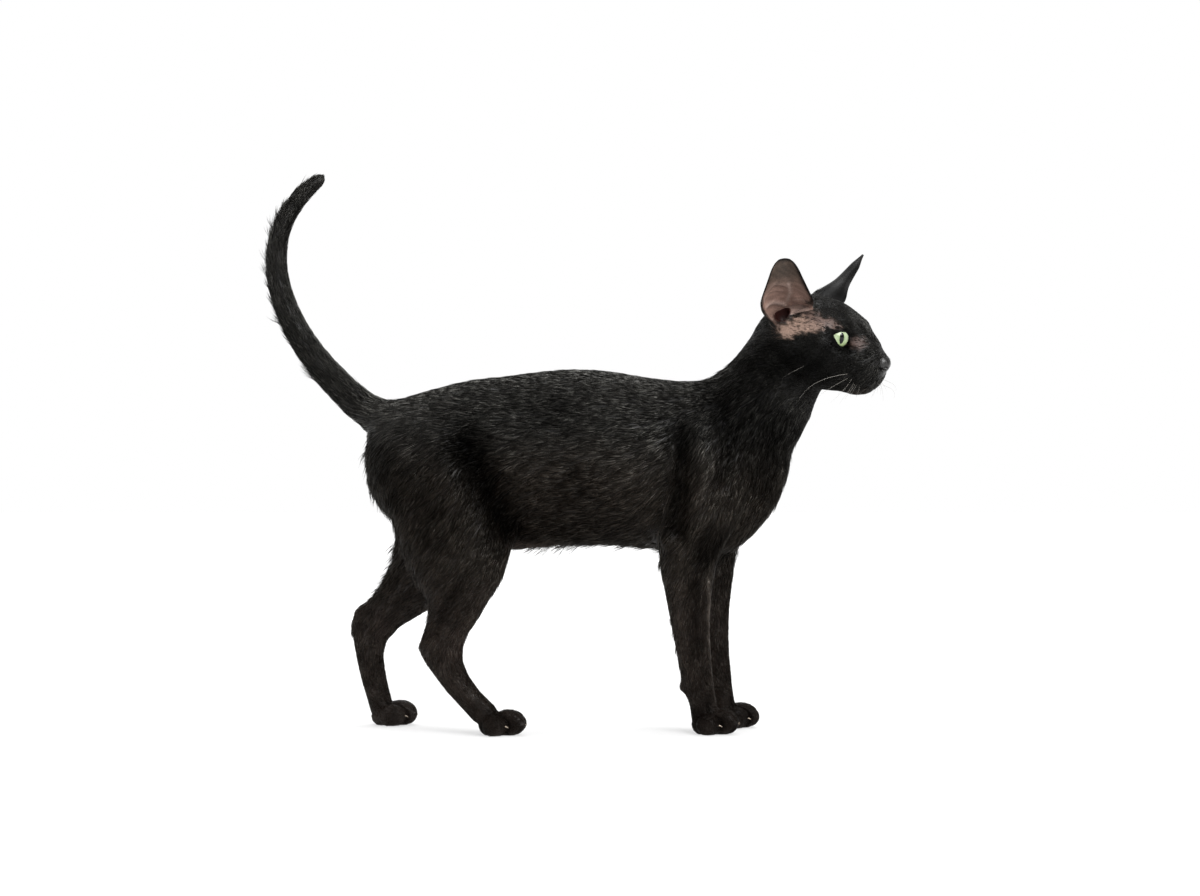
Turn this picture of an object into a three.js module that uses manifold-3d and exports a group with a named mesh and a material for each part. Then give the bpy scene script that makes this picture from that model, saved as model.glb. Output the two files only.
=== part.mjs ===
// A short-haired cat of the slender oriental type, standing still, at life size.
// Millimetres. +Z is up, the cat looks along +X and its right side is at -Y.
// Z = 0 is the floor, which the flat soles of the four paws meet.
import * as THREE from "three";
import { mergeVertices } from "three/addons/utils/BufferGeometryUtils.js";
import Module from "manifold-3d";

const wasm = await Module();
wasm.setup();

// ---------------------------------------------------------------- driving dimensions
const seam = 0.3; // gap where two nodes meet
const middleOfBox = [0.4, 6.4, 0]; // moves the body so that the middle of its box stands over the origin
const sides = [
  { name: "right", sign: -1 },
  { name: "left", sign: 1 },
];

// The back runs level with the shoulders, and the belly is a little tucked up.
const trunkEnds = { rear: -170, front: 171.5, rearRound: 10, frontRound: 16 };
const trunkStations = [
  // x, top, widest, bottom, half width
  [-170, 240, 214, 190, 15],
  [-160, 254, 215, 179, 26],
  [-145, 265, 219, 166, 32],
  [-118, 273.2, 222, 155, 35],
  [-94, 280.3, 223, 148, 34],
  [-58, 284.6, 221, 143.8, 33],
  [-22, 289.2, 219, 147.6, 38],
  [8, 290.3, 216, 148.4, 43.5],
  [38, 286.5, 213, 148, 45],
  [66, 281.5, 213, 145, 43.5],
  [94, 280.5, 217, 141.5, 39.5],
  [122, 278, 220, 142, 35],
  [144, 268, 219, 157.5, 29.5],
  [158, 250, 216, 175.5, 24.5],
  [171.5, 229, 212, 192, 14.5],
];

// The neck rises from between the shoulders to the back of the skull.
const neckStations = [
  // place, x, y, z, half depth, half width
  [0, 108, 0, 216, 52, 36],
  [1, 127, 0, 240, 48, 33.5],
  [2, 143.5, -1, 260, 42, 31],
  [3, 157.5, -4, 281, 36, 29],
  [4, 172, -8, 301, 34.5, 28],
  [5, 184, -12, 315, 31, 26],
];

// The tail leaves the croup level, sweeps up and hooks forward at its tip.
const tailStations = [
  // place, x, y, z, half depth, half width
  [0, -136, 0, 238, 21, 15],
  [1, -157, 0, 250, 16.8, 13.5],
  [2, -175, 0, 262.8, 13.4, 12],
  [3, -194, 0, 279.5, 11.3, 11],
  [4, -211, 0, 299.5, 10.4, 10.3],
  [5, -225, 0, 321, 9.7, 9.5],
  [6, -235, 0, 344, 8.9, 8.8],
  [7, -240.3, 0, 366, 8.2, 8.1],
  [8, -240, 0, 388, 7.7, 7.5],
  [9, -234, 0, 408.5, 7.2, 7],
  [10, -221.8, 0, 427, 6.5, 6.4],
  [11, -205.5, 0, 441.5, 4.8, 4.8],
];

// A foreleg from the sole up to the shoulder blade. The left one stands a hand's breadth further forward.
const forelegStations = [
  // z, rear, front, middle y, half width
  [6, 91, 114, 24, 11],
  [20, 89.5, 111, 24, 10.4],
  [28, 87, 109.5, 24, 10.6],
  [36, 83.5, 108, 24.3, 11],
  [46, 82, 106.8, 24.6, 10.8],
  [60, 79.8, 105.4, 25, 11.2],
  [78, 76.4, 104.3, 25.6, 12.2],
  [98, 72.4, 104.8, 26.6, 13.4],
  [118, 68.6, 106.4, 27.8, 14.8],
  [138, 64.4, 111, 29, 15.6],
  [154, 63.6, 119, 30, 15.8],
  [172, 67, 128, 30.8, 15.4],
  [190, 70, 134, 31, 14.8],
  [208, 73, 136, 30.6, 14.4],
  [226, 78, 132, 28.8, 13.6],
  [244, 84, 124, 25, 12.2],
  [260, 90, 115, 20.5, 9.4],
  [272, 95, 108, 16, 6.5],
];
const leftForelegShift = { top: 18.5, foot: 15.5, from: 205, to: 125 };

const carpalPad = { height: 37.5, radii: [4.5, 4, 5.5] };

// The hind legs stand in a stride: the right one forward under the body, the left one back.
const rightHindStations = [
  // z, rear, front, middle y, half width
  [7, -78, -57, 32, 9.6],
  [20, -90, -62.5, 32, 9.4],
  [34, -102.7, -76.5, 32, 9.3],
  [48, -113, -86.6, 32, 9.5],
  [60, -121.2, -90.6, 32.2, 10],
  [69, -125.2, -89.9, 32.4, 10.6],
  [79, -121.4, -86.6, 32.7, 11.6],
  [91, -117, -78, 32.8, 12.8],
  [104, -117.6, -71, 32.4, 14.4],
  [120, -126, -60.5, 31.4, 16.2],
  [138, -137, -53, 30, 17.2],
  [158, -145.5, -47, 28.4, 17.6],
  [178, -151.5, -47, 27, 17.6],
  [198, -157, -53, 25.8, 17.2],
  [216, -159.5, -63, 24.4, 16.4],
  [234, -155, -76, 22.8, 14.8],
  [250, -146, -92, 20, 11.6],
];
const leftHindStations = [
  [7, -168, -148, 42, 9.6],
  [18, -170.8, -151, 42, 9.4],
  [30, -174.6, -154.4, 42, 9.2],
  [44, -178, -157.4, 42, 9.3],
  [58, -180.8, -159, 41.6, 9.8],
  [68, -182.6, -156.6, 41.2, 10.4],
  [78, -184.4, -148.4, 40.4, 11.3],
  [87, -184.6, -135, 39.2, 12.4],
  [96, -176.4, -119, 37.6, 13.8],
  [107, -165, -102, 35.4, 15.2],
  [120, -157.4, -88, 33, 16.4],
  [138, -150, -74, 30.6, 17.2],
  [158, -149.6, -64, 28.6, 17.6],
  [178, -154, -60, 27.2, 17.6],
  [198, -158.6, -62, 26, 17.2],
  [216, -160, -68, 24.6, 16.4],
  [234, -155, -79, 22.8, 14.8],
  [250, -146, -93, 20, 11.6],
];

// Paws: the heel's place on the floor, the length to the toe tips, and how far the toes turn outward.
const pawWidth = 30;
const pawHeight = 20.5;
const paws = {
  fore: {
    right: { heel: [90, -24], length: 37.5, turn: 6 },
    left: { heel: [107.5, 22], length: 38.5, turn: 5 },
  },
  hind: {
    right: { heel: [-78, -32], length: 37.5, turn: 5 },
    left: { heel: [-169, 42], length: 37.5, turn: 4 },
  },
};

// The head has a frame of its own: +X along the muzzle, +Z up, origin in the middle of the skull.
const headPlace = [186, -12, 312];
const headTurn = { yaw: -24, pitch: 10, roll: 4 };
const headEnds = { rear: -40, front: 66.5, rearRound: 8, frontRound: 4.5 };
const headStations = [
  // x, top, widest, bottom, half width
  [-40, 10, -2, -16, 18],
  [-28, 24, -1, -26, 29],
  [-14, 32, -3, -33, 35],
  [0, 35.5, -6, -36.5, 37.5],
  [12, 35.2, -8, -37.3, 36.5],
  [22, 33, -8, -37, 33.5],
  [31, 29, -9, -36.2, 29],
  [38, 23.5, -11, -36.4, 25],
  [45, 17, -12, -37, 21.6],
  [51.5, 11.4, -13, -36.2, 18.8],
  [57.5, 5.6, -14, -33.4, 16.2],
  [62, 1.2, -14, -29, 13.6],
  [66.5, -3.6, -14, -24, 10],
];
const whiskerPads = { at: [54.8, 7.2, -17.6], radii: [11.4, 9.8, 10], turn: [0, 0.12, 0.12] };
const chin = { at: [50, 0, -30.4], radii: [9.8, 10, 7], turn: [0, -0.16, 0] };
const philtrum = { at: [66.8, 0, -17], radii: [2.4, 0.5, 8] };

const eye = { at: [25.8, 16.2, 7], radius: 10.4, outward: 38, upward: 1, lid: 1.3 };
const eyeOpening = { outer: 8.4, inner: 15, upper: 6, lower: 5, slant: 24 };
const innerCornerBed = { at: [0, -4, 0], radii: [9.6, 15, 11] }; // shows between the eyeball and the nose
const nosePad = { at: [63.4, 0, -8], radii: [5.6, 7.2, 5.8], tilt: 0.35, taper: 0.32 };
const nostril = { forward: 3.9, aside: 4, down: 0.6, radii: [3.4, 1.5, 1.1] };
const mouthCut = { depth: 1.5, width: 70 };

// An ear is a leaf rolled into a cup: nearly a tube inside the head, and spread open towards its tip.
const earHeight = 57;
const earThickness = 2;
const earStations = [
  // share of the height, radius of the roll, half of its arc in degrees
  [-0.22, 10.5, 150],
  [0, 14.5, 132],
  [0.15, 17.5, 106],
  [0.3, 19.3, 85],
  [0.5, 18.2, 63],
  [0.7, 14.8, 51],
  [0.85, 10.7, 43],
  [0.95, 6.8, 38],
  [1, 3.4, 35],
];
const earPoses = {
  // Middle of the root in the head's frame, the way the ear points, the way its cup opens, and how wide its blade spreads.
  right: { root: [-14, -28, 19], points: [0.08, -0.56, 0.8], opens: [0.35, -0.93, 0], spread: 1.14 },
  left: { root: [-10, 28, 19], points: [0.44, 0.33, 0.85], opens: [0.72, 0.7, 0], spread: 0.94 },
};

// Planes that part the body into its nodes: a point on each, and the way it faces.
const cuts = {
  nape: [[150, 0, 322], [0.78, 0, 0.63]],
  shoulders: [[146, 0, 252], [0.8, 0, 0.6]],
  tailRoot: [[-171, 0, 259], [-0.8, 0, 0.6]],
  tailBend: [[-226, 0, 322], [-0.5, 0, 0.87]],
  tailHook: [[-240, 0, 398], [0, 0, 1]],
  flank: [[-46, 0, 150], [-0.82, 0, -0.57]],
  lastRib: [[48, 0, 213], [1, 0, 0]],
  elbows: [[88, 0, 139], [0, 0, 1]],
  breastbone: [[88, 0, 139], [0, -1, 0]],
  rightHip: [[-118, -13, 200], [0, -1, 0]],
  leftHip: [[-118, 13, 200], [0, 1, 0]],
};
const jointHeights = {
  right: { wrist: 30, knee: 116, hock: 60 },
  left: { wrist: 30, knee: 122, hock: 74 },
};

// ---------------------------------------------------------------- finishes
const blackCoat = { color: 0x14120f, roughness: 0.62, metalness: 0 };
const bareEarSkin = { color: 0x2e221e, roughness: 0.7, metalness: 0 };
const noseLeather = { color: 0x0b0a0a, roughness: 0.45, metalness: 0 };
const greenEye = { color: 0x8fb27a, roughness: 0.08, metalness: 0 };

// ---------------------------------------------------------------- solids
function bareOf(geometry) {
  const bare = geometry.clone();
  bare.deleteAttribute("normal");
  bare.deleteAttribute("uv");
  return mergeVertices(bare, 1e-4);
}

// A closed geometry as a manifold solid, with its faces turned outwards.
function solidOf(geometry) {
  const bare = bareOf(geometry);
  const build = () =>
    new wasm.Manifold(
      new wasm.Mesh({
        numProp: 3,
        vertProperties: new Float32Array(bare.attributes.position.array),
        triVerts: new Uint32Array(bare.index.array),
      }),
    );
  const solid = build();
  if (solid.volume() > 0) return solid;
  const index = bare.index.array;
  for (let i = 0; i < index.length; i += 3) [index[i + 1], index[i + 2]] = [index[i + 2], index[i + 1]];
  return build();
}

// The largest closed body of a solid, as a three.js geometry.
function geometryOf(solid) {
  const bodies = solid.decompose().sort((a, b) => b.volume() - a.volume());
  const mesh = bodies[0].getMesh();
  const geometry = new THREE.BufferGeometry();
  geometry.setAttribute("position", new THREE.BufferAttribute(new Float32Array(mesh.vertProperties), 3));
  geometry.setIndex(new THREE.BufferAttribute(new Uint32Array(mesh.triVerts), 1));
  geometry.computeVertexNormals();
  return geometry;
}

// Parts a solid at a plane through a point: what lies in front of it, and the rest, a seam apart.
function partAt(solid, point, facing) {
  const n = new THREE.Vector3(...facing).normalize();
  const offset = n.dot(new THREE.Vector3(...point));
  return [
    solid.trimByPlane([n.x, n.y, n.z], offset + seam / 2),
    solid.trimByPlane([-n.x, -n.y, -n.z], -offset + seam / 2),
  ];
}

const union = (solids) => solids.reduce((sum, solid) => sum.add(solid));

function ellipsoid(centre, radii, turn = [0, 0, 0], around = 12, rows = 8) {
  const geometry = new THREE.SphereGeometry(1, around, rows);
  const matrix = new THREE.Matrix4().compose(
    new THREE.Vector3(...centre),
    new THREE.Quaternion().setFromEuler(new THREE.Euler(...turn)),
    new THREE.Vector3(...radii),
  );
  return solidOf(geometry.applyMatrix4(matrix));
}

// ---------------------------------------------------------------- lofts
// The values at a place along a list of stations, by a smooth cubic. The first column is the place.
function stationAt(stations, place) {
  const last = stations.length - 1;
  let i = 0;
  while (i < last - 1 && place > stations[i + 1][0]) i++;
  const [before, from, to, after] = [Math.max(i - 1, 0), i, i + 1, Math.min(i + 2, last)].map((k) => stations[k]);
  const span = to[0] - from[0];
  const t = (place - from[0]) / span;
  return from.map((value, column) => {
    const slopeFrom = ((to[column] - before[column]) / (to[0] - before[0])) * span;
    const slopeTo = ((after[column] - from[column]) / (after[0] - from[0])) * span;
    return (
      value * (2 * t ** 3 - 3 * t ** 2 + 1) +
      slopeFrom * (t ** 3 - 2 * t ** 2 + t) +
      to[column] * (3 * t ** 2 - 2 * t ** 3) +
      slopeTo * (t ** 3 - t ** 2)
    );
  });
}

// A closed skin over rings, made from a sphere whose rows become the rings. ringAt(place) gives a ring's
// centre, its directions, its half width and its reach above and below. Both ends are rounded off.
function loft({ from, to, fromRound, toRound, rows, around, ringAt, grow = 0, squareness = 2.1 }) {
  const geometry = new THREE.SphereGeometry(1, around, rows);
  const position = geometry.attributes.position;
  const roundRows = 3;
  for (let row = 0; row <= rows; row++) {
    const fromEnd = Math.min(row, rows - row);
    const atStart = row <= rows / 2;
    const angle = (Math.min(fromEnd / roundRows, 1) * Math.PI) / 2;
    const size = Math.sin(angle);
    const middle = (row - roundRows) / (rows - 2 * roundRows);
    let place = from + fromRound + middle * (to - from - fromRound - toRound);
    if (fromEnd < roundRows) {
      place = atStart ? from + fromRound * (1 - Math.cos(angle)) : to - toRound * (1 - Math.cos(angle));
    }
    const ring = ringAt(place);
    if (fromEnd === 0) ring.centre.addScaledVector(ring.along, atStart ? -grow : grow);
    for (let k = 0; k <= around; k++) {
      const turn = ((k % around) / around) * 2 * Math.PI;
      const [c, s] = [Math.cos(turn), Math.sin(turn)];
      const [wide, high] = [c, s].map((v) => Math.sign(v) * Math.abs(v) ** (2 / squareness) * size);
      const reach = (s > 0 ? ring.above : ring.below) + grow;
      const p = ring.centre.clone();
      p.addScaledVector(ring.side, wide * (ring.halfWidth + grow)).addScaledVector(ring.up, high * reach);
      position.setXYZ(row * (around + 1) + k, p.x, p.y, p.z);
    }
  }
  return bareOf(geometry);
}

const X = new THREE.Vector3(1, 0, 0);
const Y = new THREE.Vector3(0, 1, 0);
const Z = new THREE.Vector3(0, 0, 1);

// An upright ring across the trunk or the head.
function crossRing(stations, x) {
  const [, top, widest, bottom, halfWidth] = stationAt(stations, x);
  const centre = new THREE.Vector3(x, 0, widest);
  return { centre, side: Y, up: Z, along: X, halfWidth, above: top - widest, below: widest - bottom };
}

// A level ring round a leg.
function legRing(stations, z) {
  const [, rear, front, y, halfWidth] = stationAt(stations, z);
  const centre = new THREE.Vector3((rear + front) / 2, y, z);
  const reach = (front - rear) / 2;
  return { centre, side: Y, up: X, along: Z, halfWidth, above: reach, below: reach };
}

// A ring square to a path of centres.
function pathRing(stations, place) {
  const [, x, y, z, reach, halfWidth] = stationAt(stations, place);
  const step = 0.01;
  const ahead = stationAt(stations, place + step);
  const behind = stationAt(stations, place - step);
  const along = new THREE.Vector3(ahead[1] - behind[1], ahead[2] - behind[2], ahead[3] - behind[3]).normalize();
  const side = Y.clone().addScaledVector(along, -along.y).normalize();
  const up = new THREE.Vector3().crossVectors(along, side);
  return { centre: new THREE.Vector3(x, y, z), side, up, along, halfWidth, above: reach, below: reach };
}

// Moves the skin along its own normals round each place: out by height, or in where height is negative.
function swell(geometry, swellings) {
  geometry.computeVertexNormals();
  const { position, normal } = geometry.attributes;
  const p = new THREE.Vector3();
  const n = new THREE.Vector3();
  for (let i = 0; i < position.count; i++) {
    p.fromBufferAttribute(position, i);
    n.fromBufferAttribute(normal, i);
    let push = 0;
    for (const { at, reach, height } of swellings) {
      const away = p.toArray().reduce((sum, value, axis) => sum + ((value - at[axis]) / reach[axis]) ** 2, 0);
      push += height * Math.exp(-away);
    }
    p.addScaledVector(n, push);
    position.setXYZ(i, p.x, p.y, p.z);
  }
  return geometry;
}

const onBothSides = (list) => list.flatMap((one) => [one, { ...one, at: [one.at[0], -one.at[1], one.at[2]] }]);

// ---------------------------------------------------------------- trunk, neck and tail
const trunkForms = [
  ...onBothSides([
    { at: [-118, 30, 254], reach: [24, 18, 14], height: 2.5 }, // hip bone
    { at: [-70, 34, 190], reach: [24, 20, 26], height: -2.5 }, // hollow of the flank
    { at: [92, 20, 280], reach: [20, 12, 14], height: 2 }, // top of the shoulder blade
    { at: [152, 22, 222], reach: [14, 14, 16], height: 2 }, // point of the shoulder
  ]),
  { at: [-168, 0, 194], reach: [9, 14, 8], height: 4 }, // scrotum
];

function trunk() {
  const geometry = loft({
    from: trunkEnds.rear,
    to: trunkEnds.front,
    fromRound: trunkEnds.rearRound,
    toRound: trunkEnds.frontRound,
    rows: 28,
    around: 26,
    ringAt: (x) => crossRing(trunkStations, x),
  });
  return solidOf(swell(geometry, trunkForms));
}

const neck = () =>
  solidOf(
    loft({
      from: 0,
      to: 5,
      fromRound: 0.6,
      toRound: 0.5,
      rows: 14,
      around: 22,
      ringAt: (place) => pathRing(neckStations, place),
    }),
  );

const tail = () =>
  solidOf(
    loft({
      from: 0,
      to: 11.15,
      fromRound: 0.4,
      toRound: 0.35,
      rows: 36,
      around: 12,
      ringAt: (place) => pathRing(tailStations, place),
    }),
  );

// ---------------------------------------------------------------- legs and paws
function leg(stations, bottom, top) {
  return solidOf(
    loft({
      from: bottom,
      to: top,
      fromRound: 4,
      toRound: 9,
      rows: 26,
      around: 16,
      ringAt: (z) => legRing(stations, z),
    }),
  );
}

function foreleg(side) {
  const { top, foot, from, to } = leftForelegShift;
  const stations = forelegStations.map(([z, rear, front, y, halfWidth]) => {
    if (side.sign < 0) return [z, rear, front, -y, halfWidth];
    const share = THREE.MathUtils.smoothstep(from - z, 0, from - to);
    const shift = share * THREE.MathUtils.mapLinear(Math.min(z, to), 0, to, foot, top);
    return [z, rear + shift, front + shift, y - 2 * share, halfWidth];
  });
  const [, rear, , y] = stationAt(stations, carpalPad.height);
  const pad = ellipsoid([rear + carpalPad.radii[0] * 0.4, y, carpalPad.height], carpalPad.radii, [0, 0, 0], 8, 6);
  return leg(stations, 6, 274).add(pad);
}

function hindLeg(side) {
  const stations = side.sign < 0 ? rightHindStations : leftHindStations;
  const sided = stations.map(([z, rear, front, y, halfWidth]) => [z, rear, front, side.sign * y, halfWidth]);
  return leg(sided, 7, 252);
}

// One toe arches from the foot over its knuckle down to the pad behind its claw.
function toe(length, across, spread, reach) {
  const half = pawWidth * 0.185;
  const stations = [
    // place, x, y, z, half depth, half width
    [0, length * 0.3, across * 0.7, pawHeight * 0.42, pawHeight * 0.34, half],
    [1, length * (reach - 0.42), across * 0.85, pawHeight * 0.58, pawHeight * 0.36, half],
    [2, length * (reach - 0.22), across, pawHeight * 0.56, pawHeight * 0.37, half * 1.06],
    [3, length * (reach - 0.08), across + spread, pawHeight * 0.34, pawHeight * 0.34, half],
    [4, length * reach, across + spread * 1.4, pawHeight * 0.2, pawHeight * 0.2, half * 0.7],
  ];
  return solidOf(
    loft({
      from: 0,
      to: 4,
      fromRound: 0.5,
      toRound: 0.6,
      rows: 8,
      around: 8,
      ringAt: (place) => pathRing(stations, place),
    }),
  );
}

function claw(length, across, reach) {
  const cone = new THREE.ConeGeometry(1.1, 6, 5);
  cone.rotateZ(-Math.PI / 2 - 0.5);
  cone.translate(length * reach + 0.6, across, pawHeight * 0.3);
  return solidOf(cone);
}

// Four toes before a broad pad, on a flat sole. The two middle toes reach furthest.
function paw({ heel, length, turn }, side) {
  const pieces = [
    ellipsoid([length * 0.4, 0, pawHeight * 0.36], [length * 0.4, pawWidth * 0.42, pawHeight * 0.5], [0, 0, 0], 14, 8),
  ];
  for (const place of [-1.5, -0.5, 0.5, 1.5]) {
    const outer = Math.abs(place) > 1;
    const reach = outer ? 0.84 : 1;
    const across = place * pawWidth * 0.235;
    const spread = place * pawWidth * 0.012;
    pieces.push(toe(length, across, spread, reach), claw(length, across + spread * 1.4, reach));
  }
  const whole = union(pieces).trimByPlane([0, 0, 1], 0);
  return whole.rotate([0, 0, side.sign * turn]).translate([heel[0], heel[1], 0]);
}

// ---------------------------------------------------------------- head
const headForms = onBothSides([
  { at: [34, 17, 21], reach: [11, 10, 8], height: 3.8 }, // brow
  { at: [45, 18, -2], reach: [9, 7, 8], height: -2 }, // beside the nose
  { at: [10, 36, -16], reach: [16, 12, 14], height: 1.6 }, // cheek
]);

// The skull with its whisker pads and chin, and the groove between the pads below the nose.
function skull(grow = 0) {
  const geometry = loft({
    from: headEnds.rear,
    to: headEnds.front,
    fromRound: headEnds.rearRound,
    toRound: headEnds.frontRound,
    rows: 28,
    around: 28,
    grow,
    ringAt: (x) => crossRing(headStations, x),
  });
  const grown = (radii) => radii.map((radius) => radius + grow);
  const pads = sides.map(({ sign }) => {
    const [roll, pitch, yaw] = whiskerPads.turn;
    const at = [whiskerPads.at[0], sign * whiskerPads.at[1], whiskerPads.at[2]];
    return ellipsoid(at, grown(whiskerPads.radii), [roll, pitch, -sign * yaw], 16, 10);
  });
  return union([
    solidOf(swell(geometry, headForms)),
    ...pads,
    ellipsoid(chin.at, grown(chin.radii), chin.turn, 14, 8),
  ]).subtract(ellipsoid(philtrum.at, philtrum.radii, [0, 0.2, 0], 6, 6));
}

// From an eye's own frame, with +X out through the pupil and +Y away from the nose, to the head's.
function eyeMatrix(side) {
  const outward = THREE.MathUtils.degToRad(side.sign * eye.outward);
  const upward = THREE.MathUtils.degToRad(eye.upward);
  return new THREE.Matrix4().compose(
    new THREE.Vector3(eye.at[0], side.sign * eye.at[1], eye.at[2]),
    new THREE.Quaternion().setFromEuler(new THREE.Euler(0, -upward, outward, "ZYX")),
    new THREE.Vector3(1, side.sign, 1),
  );
}

function eyeball(side, extra) {
  const ball = new THREE.SphereGeometry(eye.radius + extra, 16, 10);
  return solidOf(ball.applyMatrix4(eyeMatrix(side)));
}

// The almond between the lids, its outer corner the higher one, as a prism out through the lids.
function lidOpening(side) {
  const { outer, inner, upper, lower, slant } = eyeOpening;
  const almond = new THREE.Shape();
  almond.moveTo(outer, 0);
  almond.bezierCurveTo(outer, upper * 0.7, outer * 0.5, upper, 0, upper);
  almond.bezierCurveTo(-inner * 0.4, upper, -inner * 0.7, upper * 0.3, -inner, 0);
  almond.bezierCurveTo(-inner * 0.6, -lower * 0.5, -inner * 0.35, -lower, 0, -lower);
  almond.bezierCurveTo(outer * 0.5, -lower, outer, -lower * 0.6, outer, 0);
  const prism = new THREE.ExtrudeGeometry(almond, { depth: eye.radius * 2, bevelEnabled: false, curveSegments: 5 });
  prism.applyMatrix4(new THREE.Matrix4().makeBasis(Y, Z, X));
  prism.rotateX(THREE.MathUtils.degToRad(slant));
  const bed = new THREE.SphereGeometry(1, 16, 10).scale(...innerCornerBed.radii).translate(...innerCornerBed.at);
  const matrix = eyeMatrix(side);
  return solidOf(prism.applyMatrix4(matrix)).subtract(solidOf(bed.applyMatrix4(matrix)));
}

// The line of the mouth: a thin cut round the muzzle, between the whisker pads and the chin.
function mouthLine() {
  const line = new THREE.Shape();
  line.moveTo(72, -24.6);
  line.quadraticCurveTo(58, -29.4, 46, -26.8);
  line.quadraticCurveTo(41, -25.8, 36, -26.4);
  line.quadraticCurveTo(41, -26.8, 46, -28);
  line.quadraticCurveTo(58, -30.8, 72, -25.8);
  const slab = new THREE.ExtrudeGeometry(line, { depth: mouthCut.width, bevelEnabled: false, curveSegments: 4 });
  slab.rotateX(Math.PI / 2);
  slab.translate(0, mouthCut.width / 2, 0);
  return solidOf(slab).subtract(skull(-mouthCut.depth));
}

// A blunt pad, wider above than below, with two nostrils that open forward and outward.
function noseSolid(grow = 0) {
  const { at, radii, tilt, taper } = nosePad;
  const geometry = new THREE.SphereGeometry(1, 14, 10);
  const position = geometry.attributes.position;
  for (let i = 0; i < position.count; i++) position.setY(i, position.getY(i) * (1 + taper * position.getZ(i)));
  geometry.scale(...radii.map((radius) => radius + grow)).rotateY(tilt).translate(...at);
  const pad = solidOf(geometry);
  if (grow) return pad;
  const nostrils = sides.map(({ sign }) => {
    const mouth = [at[0] + nostril.forward, sign * nostril.aside, at[2] - nostril.down];
    return ellipsoid(mouth, nostril.radii, [sign * 0.5, 0.1, sign * 0.6], 8, 6);
  });
  return pad.subtract(union(nostrils));
}

function ear(side) {
  const { root, points, opens, spread } = earPoses[side.name];
  const up = new THREE.Vector3(...points).normalize();
  const out = new THREE.Vector3(...opens);
  out.addScaledVector(up, -out.dot(up)).normalize();
  const across = new THREE.Vector3().crossVectors(up, out);
  const lowest = earStations[0][0];
  const leaf = new THREE.BoxGeometry(2, 1, 1, 10, 1, 12);
  const position = leaf.attributes.position;
  for (let i = 0; i < position.count; i++) {
    const share = lowest + (position.getZ(i) + 0.5) * (1 - lowest);
    const [, rolled, degrees] = stationAt(earStations, share);
    const radius = rolled * THREE.MathUtils.lerp(1, spread, THREE.MathUtils.smoothstep(share, 0.1, 0.6));
    const arc = THREE.MathUtils.degToRad(degrees);
    const angle = position.getX(i) * arc;
    const thickness = earThickness * (1 - 0.5 * Math.max(share, 0));
    const r = radius + position.getY(i) * thickness;
    const middle = (radius * (1 + Math.cos(arc))) / 2;
    const p = new THREE.Vector3(...root)
      .addScaledVector(up, share * earHeight)
      .addScaledVector(across, r * Math.sin(angle))
      .addScaledVector(out, middle - r * Math.cos(angle));
    position.setXYZ(i, p.x, p.y, p.z);
  }
  return solidOf(leaf).subtract(skull(seam));
}

// ---------------------------------------------------------------- assembly
const cat = new THREE.Group();
const stance = new THREE.Group();
stance.position.set(...middleOfBox);
cat.add(stance);

function add(group, name, solid, finish) {
  const mesh = new THREE.Mesh(geometryOf(solid), new THREE.MeshStandardMaterial(finish));
  mesh.name = name;
  group.add(mesh);
}

const headGroup = new THREE.Group();
headGroup.position.set(...headPlace);
headGroup.rotation.set(...[headTurn.roll, headTurn.pitch, headTurn.yaw].map(THREE.MathUtils.degToRad), "ZYX");
headGroup.updateMatrix();
stance.add(headGroup);

// The body is one form, parted by planes.
const whole = union([
  trunk(),
  neck(),
  tail(),
  skull().transform(headGroup.matrix.elements),
  ...sides.flatMap((side) => [
    foreleg(side),
    hindLeg(side),
    paw(paws.fore[side.name], side),
    paw(paws.hind[side.name], side),
  ]),
]);

const [headPart, body] = partAt(whole, ...cuts.nape);
const [neckPart, torso] = partAt(body, ...cuts.shoulders);
const [tailPart, trunkAndLegs] = partAt(torso, ...cuts.tailRoot);
const [hindquarters, forequarters] = partAt(trunkAndLegs, ...cuts.flank);
const [chestAndLoin, forelegs] = partAt(forequarters, ...cuts.elbows);
const [chest, loin] = partAt(chestAndLoin, ...cuts.lastRib);
const [rightHind, otherHind] = partAt(hindquarters, ...cuts.rightHip);
const [leftHind, rump] = partAt(otherHind, ...cuts.leftHip);
const [rightFore, leftFore] = partAt(forelegs, ...cuts.breastbone);

add(stance, "neck", neckPart, blackCoat);
add(stance, "chest", chest, blackCoat);
add(stance, "loin", loin, blackCoat);
add(stance, "rump", rump, blackCoat);

const [tailUpper, tailLower] = partAt(tailPart, ...cuts.tailBend);
const [tailTip, tailMiddle] = partAt(tailUpper, ...cuts.tailHook);
add(stance, "tail_root", tailLower, blackCoat);
add(stance, "tail_middle", tailMiddle, blackCoat);
add(stance, "tail_tip", tailTip, blackCoat);

for (const [side, fore, hind] of [
  ["right", rightFore, rightHind],
  ["left", leftFore, leftHind],
]) {
  const { wrist, knee, hock } = jointHeights[side];
  const [forearm, forepaw] = partAt(fore, [0, 0, wrist], [0, 0, 1]);
  add(stance, `foreleg_${side}`, forearm, blackCoat);
  add(stance, `forepaw_${side}`, forepaw, blackCoat);
  const [thigh, lowerLeg] = partAt(hind, [0, 0, knee], [0, 0, 1]);
  const [shank, hindfoot] = partAt(lowerLeg, [0, 0, hock], [0, 0, 1]);
  add(stance, `thigh_${side}`, thigh, blackCoat);
  add(stance, `shank_${side}`, shank, blackCoat);
  add(stance, `hindfoot_${side}`, hindfoot, blackCoat);
}

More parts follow.
